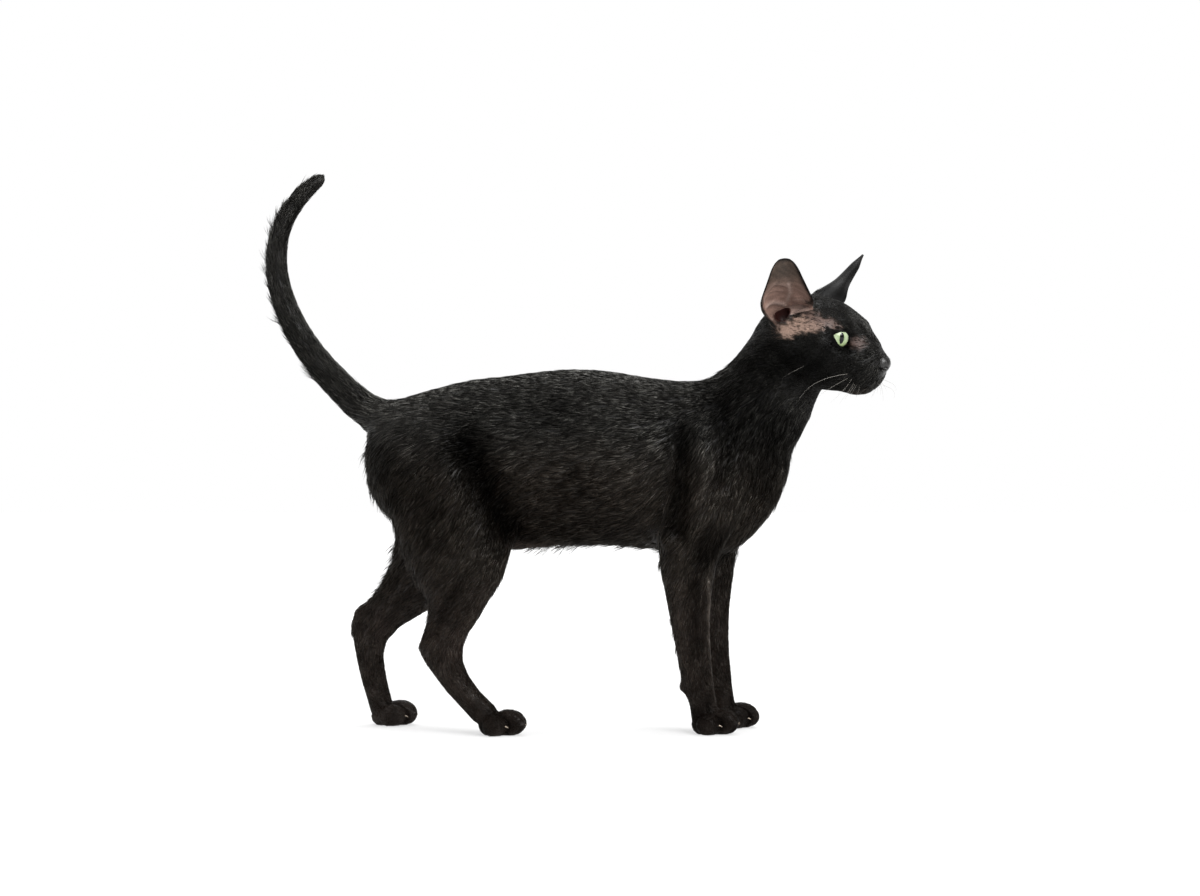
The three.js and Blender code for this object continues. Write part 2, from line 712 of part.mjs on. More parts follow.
// The head is carved in its own frame.
let head = headPart.transform(headGroup.matrix.clone().invert().elements);
for (const side of sides) head = head.add(eyeball(side, eye.lid));
for (const side of sides) head = head.subtract(lidOpening(side)).subtract(eyeball(side, seam));
head = head.subtract(noseSolid(seam)).subtract(mouthLine());
add(headGroup, "head", head, blackCoat);
add(headGroup, "nose", noseSolid(), noseLeather);
for (const side of sides) {
  add(headGroup, `eye_${side.name}`, eyeball(side, 0), greenEye);
  add(headGroup, `ear_${side.name}`, ear(side), bareEarSkin);
}

export default cat;
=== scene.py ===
# A slender short-haired black cat, standing with its tail raised.
import math

import bpy
import numpy as np
from mathutils import Euler, Matrix, Vector
from mathutils.bvhtree import BVHTree
from mathutils.kdtree import KDTree


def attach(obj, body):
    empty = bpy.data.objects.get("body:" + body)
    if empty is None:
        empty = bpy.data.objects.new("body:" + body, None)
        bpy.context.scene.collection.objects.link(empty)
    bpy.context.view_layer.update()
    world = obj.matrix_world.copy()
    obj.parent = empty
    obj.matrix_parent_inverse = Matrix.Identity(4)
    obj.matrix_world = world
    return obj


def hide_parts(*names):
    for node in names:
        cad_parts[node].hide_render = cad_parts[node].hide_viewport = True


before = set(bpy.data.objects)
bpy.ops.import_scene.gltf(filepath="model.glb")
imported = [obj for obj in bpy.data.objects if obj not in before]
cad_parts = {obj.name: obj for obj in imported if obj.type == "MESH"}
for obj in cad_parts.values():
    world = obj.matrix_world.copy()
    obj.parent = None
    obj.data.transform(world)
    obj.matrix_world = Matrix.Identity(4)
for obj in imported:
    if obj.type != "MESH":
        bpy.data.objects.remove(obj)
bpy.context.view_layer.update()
mm = 0.001
random = np.random.default_rng(7)


# ---- small helpers
def linear(hexColour):
    channels = [int(hexColour[i:i + 2], 16) / 255 for i in (1, 3, 5)]
    return [c / 12.92 if c <= 0.04045 else ((c + 0.055) / 1.055) ** 2.4 for c in channels] + [1.0]


def addNode(tree, kind, settings=None, links=None):
    node = tree.nodes.new(kind)
    for key, value in (settings or {}).items():
        if hasattr(node, str(key)) and key not in node.inputs:
            setattr(node, key, value)
        else:
            node.inputs[key].default_value = value
    for socket, source in (links or {}).items():
        tree.links.new(source, node.inputs[socket])
    return node


def principled(name, settings):
    material = bpy.data.materials.new(name)
    material.use_nodes = True
    shader = material.node_tree.nodes["Principled BSDF"]
    for key, value in settings.items():
        shader.inputs[key].default_value = value
    return material, material.node_tree, shader


def addObject(name, data):
    added = bpy.data.objects.new(name, data)
    bpy.context.scene.collection.objects.link(added)
    return added


def deselectAll():
    if bpy.context.object and bpy.context.object.mode != "OBJECT":
        bpy.ops.object.mode_set(mode="OBJECT")
    bpy.ops.object.select_all(action="DESELECT")


def activate(piece):
    deselectAll()
    piece.select_set(True)
    bpy.context.view_layer.objects.active = piece


# Runs an operator of edit mode on the whole of a piece.
def editAll(piece, operator, **settings):
    activate(piece)
    bpy.ops.object.mode_set(mode="EDIT")
    bpy.ops.mesh.select_all(action="SELECT")
    operator(**settings)
    bpy.ops.object.mode_set(mode="OBJECT")
    return piece


def modify(piece, kind, **settings):
    activate(piece)
    modifier = piece.modifiers.new(kind.lower(), kind)
    for key, value in settings.items():
        setattr(modifier, key, value)
    bpy.ops.object.modifier_apply(modifier=modifier.name)


# Joins a closed form to a piece, or cuts it away, and removes it.
def combine(piece, operation, *others):
    for other in others:
        modify(piece, "BOOLEAN", operation=operation, object=other, solver="MANIFOLD")
        bpy.data.objects.remove(other)


# One value of all the points, faces and so on of a mesh, as an array with a row for each.
def read(items, key, columns, kind=np.float32):
    values = np.empty(len(items) * columns, kind)
    items.foreach_get(key, values)
    return values.reshape(-1, columns)


def write(items, key, values, kind=np.float32):
    items.foreach_set(key, np.ascontiguousarray(values, kind).ravel())


def points(piece):
    return read(piece.data.vertices, "co", 3).astype(float)


def normals(piece):
    return read(piece.data.vertices, "normal", 3).astype(float)


def edges(piece):
    return read(piece.data.edges, "vertices", 2, np.int32)


def triangles(piece):
    piece.data.calc_loop_triangles()
    return read(piece.data.loop_triangles, "vertices", 3, np.int32)


def movePoints(piece, co):
    write(piece.data.vertices, "co", co)
    piece.data.update()


def shadeSmooth(piece):
    write(piece.data.polygons, "use_smooth", np.full(len(piece.data.polygons), True), bool)


def unit(v):
    return v / np.maximum(np.linalg.norm(v, axis=-1, keepdims=True), 1e-9)


def smoothStep(low, high, value):
    t = np.clip((value - low) / (high - low), 0, 1)
    return t * t * (3 - 2 * t)


# Evens out the surface: each point moves towards the middle of its neighbours, as far as its share says.
def evenOut(co, e, rounds, share):
    count = np.bincount(e.ravel(), minlength=len(co))[:, None]
    share = np.asarray(share, float).reshape(-1, 1) * 0.5
    for _ in range(rounds):
        total = np.stack([np.bincount(e[:, 0], co[e[:, 1], k], len(co)) + np.bincount(e[:, 1], co[e[:, 0], k], len(co))
                          for k in range(3)], 1)
        co = co + (total / np.maximum(count, 1) - co) * share
    return co


# How far each of many places in a plane lies from a line through the corners of a path.
def lineDistance(a, b, path):
    best = np.full(len(a), np.inf)
    for (a0, b0), (a1, b1) in zip(path, path[1:]):
        da, db = a1 - a0, b1 - b0
        t = np.clip(((a - a0) * da + (b - b0) * db) / max(da * da + db * db, 1e-9), 0, 1)
        best = np.minimum(best, np.hypot(a - a0 - t * da, b - b0 - t * db))
    return best


# Falls from 1 where a distance is 0, as a bell's curve of the given width does.
def bell(distance, width=1):
    return np.exp(-((distance / width) ** 2))


# How high places in a plane stand on forms along paths, each of its own width and height.
def heightOf(forms, a, b):
    return sum(height * bell(lineDistance(a, b, path), width) for path, width, height in forms)


# The values at places along a list of stations, by a smooth cubic. The first column is the place.
def stationAt(stations, place):
    s, place = np.array(stations, float), np.asarray(place, float)
    i = np.clip(np.searchsorted(s[:, 0], place, side="left") - 1, 0, len(s) - 2)
    before, start, end, after = s[np.maximum(i - 1, 0)], s[i], s[i + 1], s[np.minimum(i + 2, len(s) - 1)]
    span = (end - start)[:, :1]
    t = (place[:, None] - start[:, :1]) / span
    slopeStart = (end - before) / (end - before)[:, :1] * span
    slopeEnd = (after - start) / (after - start)[:, :1] * span
    return (start * (2 * t**3 - 3 * t**2 + 1) + slopeStart * (t**3 - 2 * t**2 + t)
            + end * (3 * t**2 - 2 * t**3) + slopeEnd * (t**3 - t**2))


def meshPiece(name, co, faces, smooth=True):
    mesh = bpy.data.meshes.new(name)
    mesh.vertices.add(len(co))
    write(mesh.vertices, "co", co)
    mesh.loops.add(faces.size)
    write(mesh.loops, "vertex_index", faces, np.int32)
    mesh.polygons.add(len(faces))
    write(mesh.polygons, "loop_start", np.arange(0, faces.size, faces.shape[1]), np.int32)
    write(mesh.polygons, "use_smooth", np.full(len(faces), smooth), bool)
    mesh.update(calc_edges=True)
    return addObject(name, mesh)


def finishPiece(piece, material, slot, *nodes):
    piece.data.materials.clear()
    piece.data.materials.append(material)
    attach(piece, "root")
    if nodes:
        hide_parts(*nodes)


# ---- where the head, the eyes and the ears are, in the cat's own frame
# turn: roll, pitch and yaw
headSettings = {"place": (186.4, -5.6, 312), "turn": (4, 10, -24), "radii": (56, 50, 50)}
eyeSettings = {
    "at": (25.8, 16.2, 7.0), "outward": 38, "upward": 1, "ball": 10.3, "cornea": 0.6, "lidBall": 11.5,
    "outer": 7.4, "inner": 10.2, "axis": -1.7, "upper": 6.8, "lower": 4.0, "slant": 24, "gaze": 7,
    # ovals round the opening: the lids' rims, the bare socket and the ring of painted shade
    "rim": (8.6, 5.4), "bare": (9.4, 6.3), "dark": (12, 8.5, (-1.5, 1)),
}
earSettings = {
    "thickness": 1.3, "columns": 52, "rows": 60, "openFront": 0.4, "flare": 0.3,
    "stations": [(-0.22, 10.5, 150), (0, 14.5, 132), (0.15, 17.5, 106), (0.3, 19.1, 85), (0.5, 18.0, 63),
                 (0.7, 15.5, 52.5), (0.85, 13.2, 46), (0.95, 10.2, 41), (1, 6.6, 38)],
    # the middle of the root, the ways the ear points and opens, its height, how wide its blade and its foot spread,
    # and how far its tip narrows to a point
    "right": {"root": (-12.6, -28, 19), "points": (0.045, -0.56, 0.8), "opens": (0.35, -0.93, 0), "height": 54.5,
              "spread": 1.08, "foot": 0.03, "narrowed": 0},
    "left": {"root": (-10, 28, 19), "points": (0.44, 0.33, 0.86), "opens": (0.72, 0.7, 0), "height": 61.3,
             "spread": 0.7, "foot": 0.05, "narrowed": 0.5},
    # The folds inside: the line of each across, from -1 behind to 1 in front, and up; its width and height.
    "folds": [
        ([(0.1, 0.5), (0.12, 0.3), (0.02, 0.1)], 2.2, 1.5),
        ([(-0.9, 0.3), (-0.8, 0.45), (-0.45, 0.53), (-0.02, 0.46)], 1.6, 0.8),
        ([(-0.85, 0.33), (-0.5, 0.4), (-0.15, 0.33)], 1.5, 0.7),
        ([(-0.75, 0.2), (-0.4, 0.16), (-0.05, 0.02)], 2.0, 1.9),
        ([(-0.3, 0.34), (-0.22, 0.22), (-0.12, 0.12)], 1.6, -0.5),
        ([(-0.97, 0.2), (-0.8, 0.02), (-0.62, -0.06)], 1.6, 1.5),
        ([(0.25, 0.12), (0.6, 0.16), (0.9, 0.2)], 2.0, 1.1),
    ],
    # The canal, on the right side, and what fills the head below the root.
    "canal": {"place": (-3.6, -1, -1.2), "radii": (6.5, 7, 8.8)},
    "below": {"place": (0, -1.5, -9), "radii": (14, 11, 13)},
}
sides = {"right": -1, "left": 1}


def turned(*degrees, order="XYZ"):
    return Euler([math.radians(d) for d in degrees], order).to_matrix().to_4x4()


headMatrix = Matrix.Translation(Vector(headSettings["place"]) * mm) @ turned(*headSettings["turn"])


# From an eye's own frame, +X out through the pupil and +Y away from the nose, to the cat's.
def eyeMatrix(side):
    e, sign = eyeSettings, sides[side]
    at = Vector((e["at"][0], sign * e["at"][1], e["at"][2])) * mm
    turn = turned(0, -e["upward"], sign * e["outward"])
    return headMatrix @ Matrix.Translation(at) @ turn @ Matrix.Diagonal((1, sign, 1, 1))


# From an ear's own frame, +X across it, +Y the way its cup opens and +Z towards its tip, to the cat's.
def earMatrix(side):
    pose = earSettings[side]
    up = Vector(pose["points"]).normalized()
    out = Vector(pose["opens"])
    out = (out - up * out.dot(up)).normalized()
    axes = Matrix((up.cross(out), out, up)).transposed().to_4x4()
    return headMatrix @ Matrix.Translation(Vector(pose["root"]) * mm) @ axes


def inFrame(matrix, co):
    m = np.array(matrix.inverted())
    return (co @ m[:3, :3].T + m[:3, 3]) / mm


def toFrame(matrix, co):
    m = np.array(matrix)
    return (np.asarray(co) * mm) @ m[:3, :3].T + m[:3, 3]


def turnTo(matrix, directions):
    return np.asarray(directions) @ np.array(matrix)[:3, :3].T


# Places in the head's frame, those on its right as if they were on its left.
def headPlace(co):
    x, y, z = inFrame(headMatrix, co).T
    return np.stack([x, np.abs(y), z], 1)


# How far out a place lies from the middle of the head: about 1 at its surface.
def headDistance(co):
    return np.linalg.norm(inFrame(headMatrix, co) / headSettings["radii"], axis=1)


lidSlant = np.array(turned(eyeSettings["slant"], 0, 0))[:3, :3]


# Places in an eye's own frame, turned with the slant of its lids.
def lidPlace(side, co):
    return inFrame(eyeMatrix(side), co) @ lidSlant


# How far out a place lies round the opening of the lids: 1 on an oval of the given size.
def lidRing(place, wide, tall, middle=(-1.2, 1.4)):
    return np.hypot((place[:, 1] - middle[0]) / wide, (place[:, 2] - eyeSettings["axis"] - middle[1]) / tall)


# The front margin of an ear spreads forward at its root: how far its cup is opened and stretched there.
def earFlare(share):
    low = 1 - smoothStep(0.0, 0.45, share)
    return 1 - earSettings["openFront"] * low, 1 + earSettings["flare"] * low


# The radius and half the arc of an ear's roll, up it.
def earRoll(side, share):
    _, radius, degrees = stationAt(earSettings["stations"], share).T
    share, pose = np.asarray(share, float), earSettings[side]
    foot = pose["foot"] * bell(share - 0.4, 0.12)
    blade = 1 + (pose["spread"] - 1) * smoothStep(0.1, 0.6, share) + foot
    return radius * blade * (1 - pose["narrowed"] * smoothStep(0.8, 1.0, share)), np.radians(degrees)


# Where places lie on an ear: across from -1 to 1, up from 0 to 1, outside (+) or inside (-) its leaf in mm.
def earPlace(side, co):
    x, y, z = inFrame(earMatrix(side), co).T
    x = x if side == "right" else -x
    share = z / earSettings[side]["height"]
    radius, arc = earRoll(side, np.clip(share, -0.22, 1))
    middle = radius * (1 + np.cos(arc)) / 2
    opened, stretched = earFlare(share)
    x = np.where(x > 0, x / stretched, x)
    angle = np.arctan2(x, middle - y)
    return angle / (arc * np.where(x > 0, opened, 1)), share, np.hypot(x, middle - y) - radius


# How much a place belongs to the outstanding part of an ear.
def earShare(co):
    share = np.zeros(len(co))
    for side in sides:
        across, up, off = earPlace(side, co)
        share = np.maximum(share, (np.abs(off) < 4) * smoothStep(0.08, 0.3, up) * (up < 1.1) * (np.abs(across) < 1.35))
    return share * (headDistance(co) < 2.4)


# The middle of an ear's canal, in the ear's own frame.
def canalPlace(side):
    x, y, z = earSettings["canal"]["place"]
    return -sides[side] * x, y, z


# ---- camera, floor and lights
def setStage():
    stage = {"lens": 78.75, "eye": (18.4, -2093.6, 226), "room": 0.2, "floor": "#a0a0a0", "glow": 0.55}
    camera = bpy.data.cameras.new("camera")
    camera.lens, camera.sensor_width = stage["lens"], 36
    camera.clip_start, camera.clip_end = 0.05, 30
    holder = addObject("camera", camera)
    holder.location = Vector(stage["eye"]) * mm
    holder.rotation_euler = (math.pi / 2, 0, 0)
    bpy.context.scene.camera = holder

    deselectAll()
    bpy.ops.mesh.primitive_plane_add(size=14, location=(0, 0, 0))
    floor = bpy.context.object
    floor.name = "floor"
    paper, tree, shader = principled("White paper floor", {"Base Color": linear(stage["floor"]), "Roughness": 0.9,
                                                           "Specular IOR Level": 0.1, "Emission Color": (1, 1, 1, 1)})
    # The paper glows with painted light, brighter away from the cat.
    where = addNode(tree, "ShaderNodeTexCoord")
    far = addNode(tree, "ShaderNodeVectorMath", {"operation": "LENGTH"}, {0: where.outputs["Object"]})
    glow = addNode(tree, "ShaderNodeMapRange", {"From Min": 0.5, "From Max": 1.6, "To Min": stage["glow"],
                                                "To Max": 1.0}, {"Value": far.outputs["Value"]})
    tree.links.new(glow.outputs[0], shader.inputs["Emission Strength"])
    floor.data.materials.append(paper)

    # White paper behind the cat, and a dimmer room all round.
    world = bpy.data.worlds.new("white studio")
    world.use_nodes = True
    tree = world.node_tree
    way = addNode(tree, "ShaderNodeTexCoord")
    parts = addNode(tree, "ShaderNodeSeparateXYZ", None, {0: way.outputs["Generated"]})
    paperWhite = addNode(tree, "ShaderNodeMapRange", {"From Min": 0.15, "From Max": 0.8, "To Min": stage["room"],
                                                      "To Max": 1.0}, {"Value": parts.outputs["Y"]})
    tree.links.new(paperWhite.outputs[0], tree.nodes["Background"].inputs["Color"])
    bpy.context.scene.world = world
    bpy.context.scene.view_settings.view_transform = "Standard"

    # name, place, aimed at, width, height, power
    lights = [
        ("keyLight", (1.1, -1.75, 1.35), (0.1, 0, 0.25), 1.7, 1.1, 80),
        ("fillLight", (-1.6, -1.5, 0.9), (0, 0, 0.22), 2.6, 2.2, 14),
        ("topLight", (-0.1, 0.2, 2.1), (0, 0, 0.2), 2.0, 1.0, 55),
    ]
    for name, place, target, width, height, power in lights:
        lamp = bpy.data.lights.new(name, "AREA")
        lamp.shape, lamp.size, lamp.size_y, lamp.energy = "RECTANGLE", width, height, power
        light = addObject(name, lamp)
        light.location = place
        light.rotation_euler = (Vector(target) - Vector(place)).to_track_quat("-Z", "Y").to_euler()


# ---- the skin: one closed surface over all the flesh
skinSettings = {
    "voxel": 0.9, "reach": 0.25, "coarse": 2.2, "coarseRounds": 90, "fineRounds": 6, "noseRounds": 12,
    "noseOut": 3.0, "triangles": 172000, "coatDepth": 0.8, "thinCoat": 0.35,
    "noseRoot": (64, 0, -8), "noseTip": (67, 0, -8.6),
}
pawSettings = {
    "width": 30, "shift": (0.4, 6.4, 0), "toeStep": 7.56, "toeDepth": 0.9,
    "paws": [  # heel, length, how far it turns outward, side
        ((90, -24), 37.5, 6, -1), ((107.5, 22), 38.5, 5, 1), ((-78, -32), 37.5, 5, -1), ((-169, 42), 37.5, 4, 1),
    ],
    # How far along the paw the toes reach, and their radii: the outermost, the middle two and the innermost.
    "reach": {"outermost": 0.655, "middle": 1.0, "innermost": 0.79},
    "radii": {"outermost": (9.8, 4.7, 8.4), "middle": (13.5, 4.9, 10.2), "innermost": (11.5, 4.7, 9.0)},
    "claw": {"length": 3.7, "out": 1.4, "radius": 0.45, "bend": 0.2, "sides": 10, "steps": 8},
}
# Hollows and ridges seen from the side, as lines in x and z: the line, its width and how far it stands out.
bodyForms = [
    ([(84, 242), (85, 205), (80, 160)], 7, -5.0),
    ([(76, 226), (71.5, 190), (69, 150)], 3.4, 2.2),
    ([(-88, 232), (-70, 200), (-52, 162)], 11, -5.5),
    ([(-40, 218), (-38, 184)], 10, 1.2),
    ([(-138, 238), (-118, 204)], 8, -2.6),
    ([(-108, 218), (-90, 178), (-74, 140)], 9, 1.1),
    ([(-104, 172), (-112, 148)], 7, -1.6),
    ([(-15, 251), (-12, 240)], 9, -1.8),
    ([(64, 216), (48, 172)], 12, 1.2),
    ([(112, 264), (122, 232), (116, 200)], 9, -2.8),
    ([(100, 240), (99, 205), (94, 168)], 9, 2.4),
    ([(108, 170), (97, 130), (97, 80)], 3.2, 1.4),
    ([(84, 128), (86, 90)], 5, -1.0),
    ([(-104, 106), (-112, 78)], 4, -1.6),
    ([(-168, 92), (-166, 66)], 3.5, -1.4),
]
# The same in the head's frame, seen from the side: the mouth, and what lies below the eye and behind the pads.
headForms = [
    ([(74, -24.6), (66, -27), (58, -29.6), (46, -27.2), (39, -26.2)], 0.95, -1.1),
    ([(39, -26.2), (34, -27.4)], 1.3, -0.7),
    ([(44, -8), (50, -2), (55, 2)], 4.5, -1.2),
    ([(41, -19), (43, -12)], 3.6, -0.9),
]
# clear: how far from the eye's middle the brow begins and is whole
browSettings = {"at": (37.5, 11, 18.5), "reach": (9, 8, 9), "height": 4.4, "clear": (11.5, 15.5)}
# Where the outline stands out or in, below the tail, at the nape, the throat and the far hock: the place, the way it
# faces, its reach and its height.
swellings = [
    ((-162, 0, 196), (-1, 0, -0.2), 8, 2.8), ((147, -6, 328), (-0.85, 0, 0.5), 10, 3.8),
    ((131, -6, 304), (-0.8, 0, 0.6), 10, -2.2), ((181, -6, 247), (0.85, 0, -0.5), 19, 3.8),
    ((-178, 38, 93), (-0.8, 0, 0.6), 9, 3.0),
]


def filler(matrix, radii, place=(0, 0, 0), around=48, rings=32):
    deselectAll()
    bpy.ops.mesh.primitive_uv_sphere_add(segments=around, ring_count=rings, radius=1)
    ball = bpy.context.object
    stretch = Matrix.Diagonal((*[r * mm for r in radii], 1))
    ball.data.transform(matrix @ Matrix.Translation(Vector(place) * mm) @ stretch)
    if matrix.determinant() < 0:
        ball.data.flip_normals()
    return ball


# How much a place belongs to the thick body, 1, or to the legs, the tail, the head and the ears, 0.
def bodyShare(co):
    x, y, z = (co / mm).T
    return smoothStep(118, 168, z) * smoothStep(-186, -160, x) * smoothStep(1.0, 1.35, headDistance(co))


# The furrow of the inner corner, as a line in an eye's own frame, turned with its slant.
innerCorner = [(-8, eyeSettings["axis"]), (-13, eyeSettings["axis"] - 0.6)]


# Draws the skin round each eye towards the lids' own ball, so that it lies in a socket.
def setLids(co):
    for side in sides:
        local = inFrame(eyeMatrix(side), co)
        x, y, z = (local @ lidSlant).T
        share = (1 - smoothStep(0.7, 1.55, np.hypot((y + 3.5) / 13, z / 9.5))) * (x > 0)
        moved = local * (1 - share[:, None]) + unit(local) * eyeSettings["lidBall"] * share[:, None]
        # The inner corner runs on towards the nose as a shallow furrow.
        furrow = heightOf([(innerCorner, 1.5, 1.7)], y, z) * (x > 0)
        moved = moved - unit(local) * furrow[:, None]
        co = np.where(share[:, None] > 0, toFrame(eyeMatrix(side), moved), co)
    return co


# The paws' own frames: +X from the heel to the toes, and +Z up.
def pawMatrix(heel, turn, sign):
    place = Vector((*heel, 0)) + Vector(pawSettings["shift"])
    return Matrix.Translation(place * mm) @ turned(0, 0, sign * turn)


paws = [(pawMatrix(heel, turn, sign), length, sign) for heel, length, turn, sign in pawSettings["paws"]]


# The four toes of a paw, each a rounded form in the paw's own frame: its middle and its radii.
def toeForms(length, sign):
    s = pawSettings
    for place in (-1.5, -0.5, 0.5, 1.5):
        kind = "middle" if abs(place) < 1 else "outermost" if place * sign > 0 else "innermost"
        radii = s["radii"][kind]
        yield (s["reach"][kind] * length - radii[0], place * s["toeStep"], radii[2] - 0.5), radii


# Where the toe beside the middle ones ends, by height: its front is round.
def toeEnd(length, sign, y, z):
    ends = []
    for (x0, y0, z0), (rx, _, rz) in toeForms(length, sign):
        ends.append(x0 + rx * np.sqrt(np.clip(1 - ((z - z0) / rz) ** 2, 0, 1)))
    return np.where(y < 0, ends[0], ends[-1])


# How near a place is to the grooves between the toes of a paw, from 0 to 1.
def toeGroove(co, wide):
    near = np.zeros(len(co))
    edge = pawSettings["toeStep"]
    for matrix, length, sign in paws:
        x, y, z = inFrame(matrix, co).T
        onPaw = (x < length + 6) * (z < 26) * (np.abs(y) < pawSettings["width"] * 0.6)
        behind = x - toeEnd(length, sign, y, z)
        top = lineDistance(x, np.abs(y), [(0.34 * length, edge), (0.6 * length, edge)])
        outer = lineDistance(behind, np.abs(y), [(0.6, edge), (0.6, edge * 1.5)])
        middle = np.where(x > 0.5 * length, np.abs(y), 9)
        near = np.maximum(near, bell(np.minimum(np.minimum(top, outer), middle), wide) * onPaw)
    return near


# The outer toes end well behind the middle ones, every toe has a round front, and the sole is flat.
def shapeToes(co):
    width = pawSettings["width"]
    for matrix, length, sign in paws:
        local = inFrame(matrix, co)
        x, y, z = local.T
        onPaw = (z < 24) * (x > 0.3 * length) * (x < length + 6) * (np.abs(y) < width * 0.7)
        end = toeEnd(length, sign, y, z)
        limit = width * (0.62 - 0.3 * np.sqrt(smoothStep(end - 7, end + 1.5, x)))
        over = np.abs(y) - limit
        held = np.where(over > -1.5, limit - 1.5 * np.exp(-(over + 1.5) / 1.5), np.abs(y))
        local[:, 1] = np.where(onPaw > 0, np.sign(y) * held, y)
        (x0, _, z0), (rx, _, rz) = list(toeForms(length, sign))[1]
        out = np.maximum(np.hypot((x - x0) / rx, (z - z0) / rz), 1)
        front = smoothStep(0.8 * length, 0.92 * length, x) * (1 - smoothStep(13, 19, z))
        local[:, 0] = x0 + (x - x0) * (1 + (1 / out - 1) * front)
        local[:, 2] = np.maximum(z0 + (z - z0) * (1 + (1 / out - 1) * front), skinSettings["thinCoat"])
        co = np.where(onPaw[:, None] > 0, toFrame(matrix, local), co)
    return co


# Presses the body's and the head's own forms into the skin, which faces as n says.
def pressForms(co, n):
    shift = heightOf(bodyForms, co[:, 0] / mm, co[:, 2] / mm)
    onBody = smoothStep(1.0, 1.3, headDistance(co)) * smoothStep(0.2, 0.7, np.abs(n[:, 1]))
    co = co - n * (toeGroove(co, 1.1) * pawSettings["toeDepth"] * mm)[:, None] * (n[:, 2:] > -0.5)
    local = headPlace(co)
    headShift = heightOf(headForms, local[:, 0], local[:, 2])
    # The brow stands out before and above each eye, clear of its lids.
    brow = np.linalg.norm((local - browSettings["at"]) / browSettings["reach"], axis=1)
    fromEye = np.linalg.norm(local - eyeSettings["at"], axis=1)
    headShift += browSettings["height"] * bell(brow) * smoothStep(*browSettings["clear"], fromEye)
    co = co + n * ((shift * onBody + headShift * (headDistance(co) < 1.6)) * mm)[:, None]
    for place, way, reach, height in swellings:
        way = unit(np.array(way, float))
        near = bell(np.linalg.norm(co / mm - place, axis=1), reach)
        co = co + way * (height * mm * near * np.clip(n @ way, 0, 1))[:, None]
    return co


# An ear: a leaf rolled into a cup, its rim rounded and its inner face folded.
def earLeaf(side):
    e = earSettings
    front = -1 if side == "left" else 1
    columns, rows = e["columns"], e["rows"]
    u, share = np.meshgrid(np.linspace(-1, 1, columns + 1), np.linspace(-0.22, 1, rows + 1), indexing="ij")
    u, share = u.ravel(), share.ravel()
    radius, arc = earRoll(side, share)
    rim = np.minimum((1 - np.abs(u)) * radius * arc, (1 - share) * e[side]["height"] * 1.4)
    thickness = e["thickness"] * (0.45 + 0.55 * smoothStep(0, 3.5, rim)) * (1 - 0.25 * np.clip(share, 0, 1))
    height, folds = share * e[side]["height"], []
    for path, width, tall in e["folds"]:
        rolls = zip(*earRoll(side, [p[1] for p in path]))
        line = [(p[0] * r * a, p[1] * e[side]["height"]) for p, (r, a) in zip(path, rolls)]
        folds.append((line, width, tall))
    relief = heightOf(folds, u * front * radius * arc, height) * smoothStep(0.3, 3.0, rim)
    middle = radius * (1 + np.cos(arc)) / 2
    opened, stretched = (np.where(u * front > 0, value, 1) for value in earFlare(share))
    angle = u * arc * opened
    faces = [np.stack([r * np.sin(angle) * stretched, middle - r * np.cos(angle), height], 1)
             for r in (radius + thickness / 2, radius - thickness / 2 - relief)]
    co = toFrame(earMatrix(side), np.concatenate(faces))
    grid = np.arange((columns + 1) * (rows + 1)).reshape(columns + 1, rows + 1)
    count = grid.size
    a, b, c, d = grid[:-1, :-1].ravel(), grid[1:, :-1].ravel(), grid[1:, 1:].ravel(), grid[:-1, 1:].ravel()
    outer = np.stack([a, b, c, d], 1)
    border = np.concatenate([grid[:, 0], grid[-1, 1:], grid[-2::-1, -1], grid[0, -2:0:-1]])
    following = np.roll(border, -1)
    edge = np.stack([border, border + count, following + count, following], 1)
    leaf = meshPiece("ear", co, np.concatenate([outer, outer[:, ::-1] + count, edge]))
    return editAll(leaf, bpy.ops.mesh.normals_make_consistent, inside=False)


noseSettings = {
    # the form that bounds the leather, and how far that stands out from the skin
    "at": (64.6, 0, -9.8), "radii": (9.2, 8.6, 7.2), "tilt": 24, "taper": 0.35, "raised": 0.3,
    "bare": (8.2, 8.8, 7.4),  # the radii within which no hair grows
    # the groove down its middle, seen from in front: its line, width and depth
    "groove": ([(0, -4), (0, -16)], 0.7, 0.75),
    # place, radii and turn of the round hole, and of the slot that runs back from it
    "nostril": [((66.6, 3.9, -12.0), (2.5, 1.9, 1.5), (0, 9, -20)), ((63.0, 6.2, -12.2), (4.6, 2.2, 0.8), (0, 9, -30))],
}


# The cuts of one nostril, through the pad and the skin below it.
def nostrils(side, grow):
    cuts = []
    for (x, y, z), radii, turn in noseSettings["nostril"]:
        place = headMatrix @ Matrix.Translation(Vector((x, sides[side] * y, z)) * mm)
        place = place @ turned(sides[side] * turn[0], turn[1], sides[side] * turn[2], order="ZYX")
        cuts.append(filler(place, [r + grow for r in radii], around=24, rings=16))
    return cuts


# The faces of a closed tube: rings of points one after the other, and then the middles of its two ends.
def tubeFaces(rings, around):
    k = np.arange(around)
    after = (k + 1) % around
    faces = []
    for start in range(0, (rings - 1) * around, around):
        a, b = start + k, start + after
        faces += [np.stack([a, b, b + around], 1), np.stack([a, b + around, a + around], 1)]
    end, middle = (rings - 1) * around, k * 0 + rings * around
    faces += [np.stack([after, k, middle], 1), np.stack([end + k, end + after, middle + 1], 1)]
    return np.concatenate(faces)


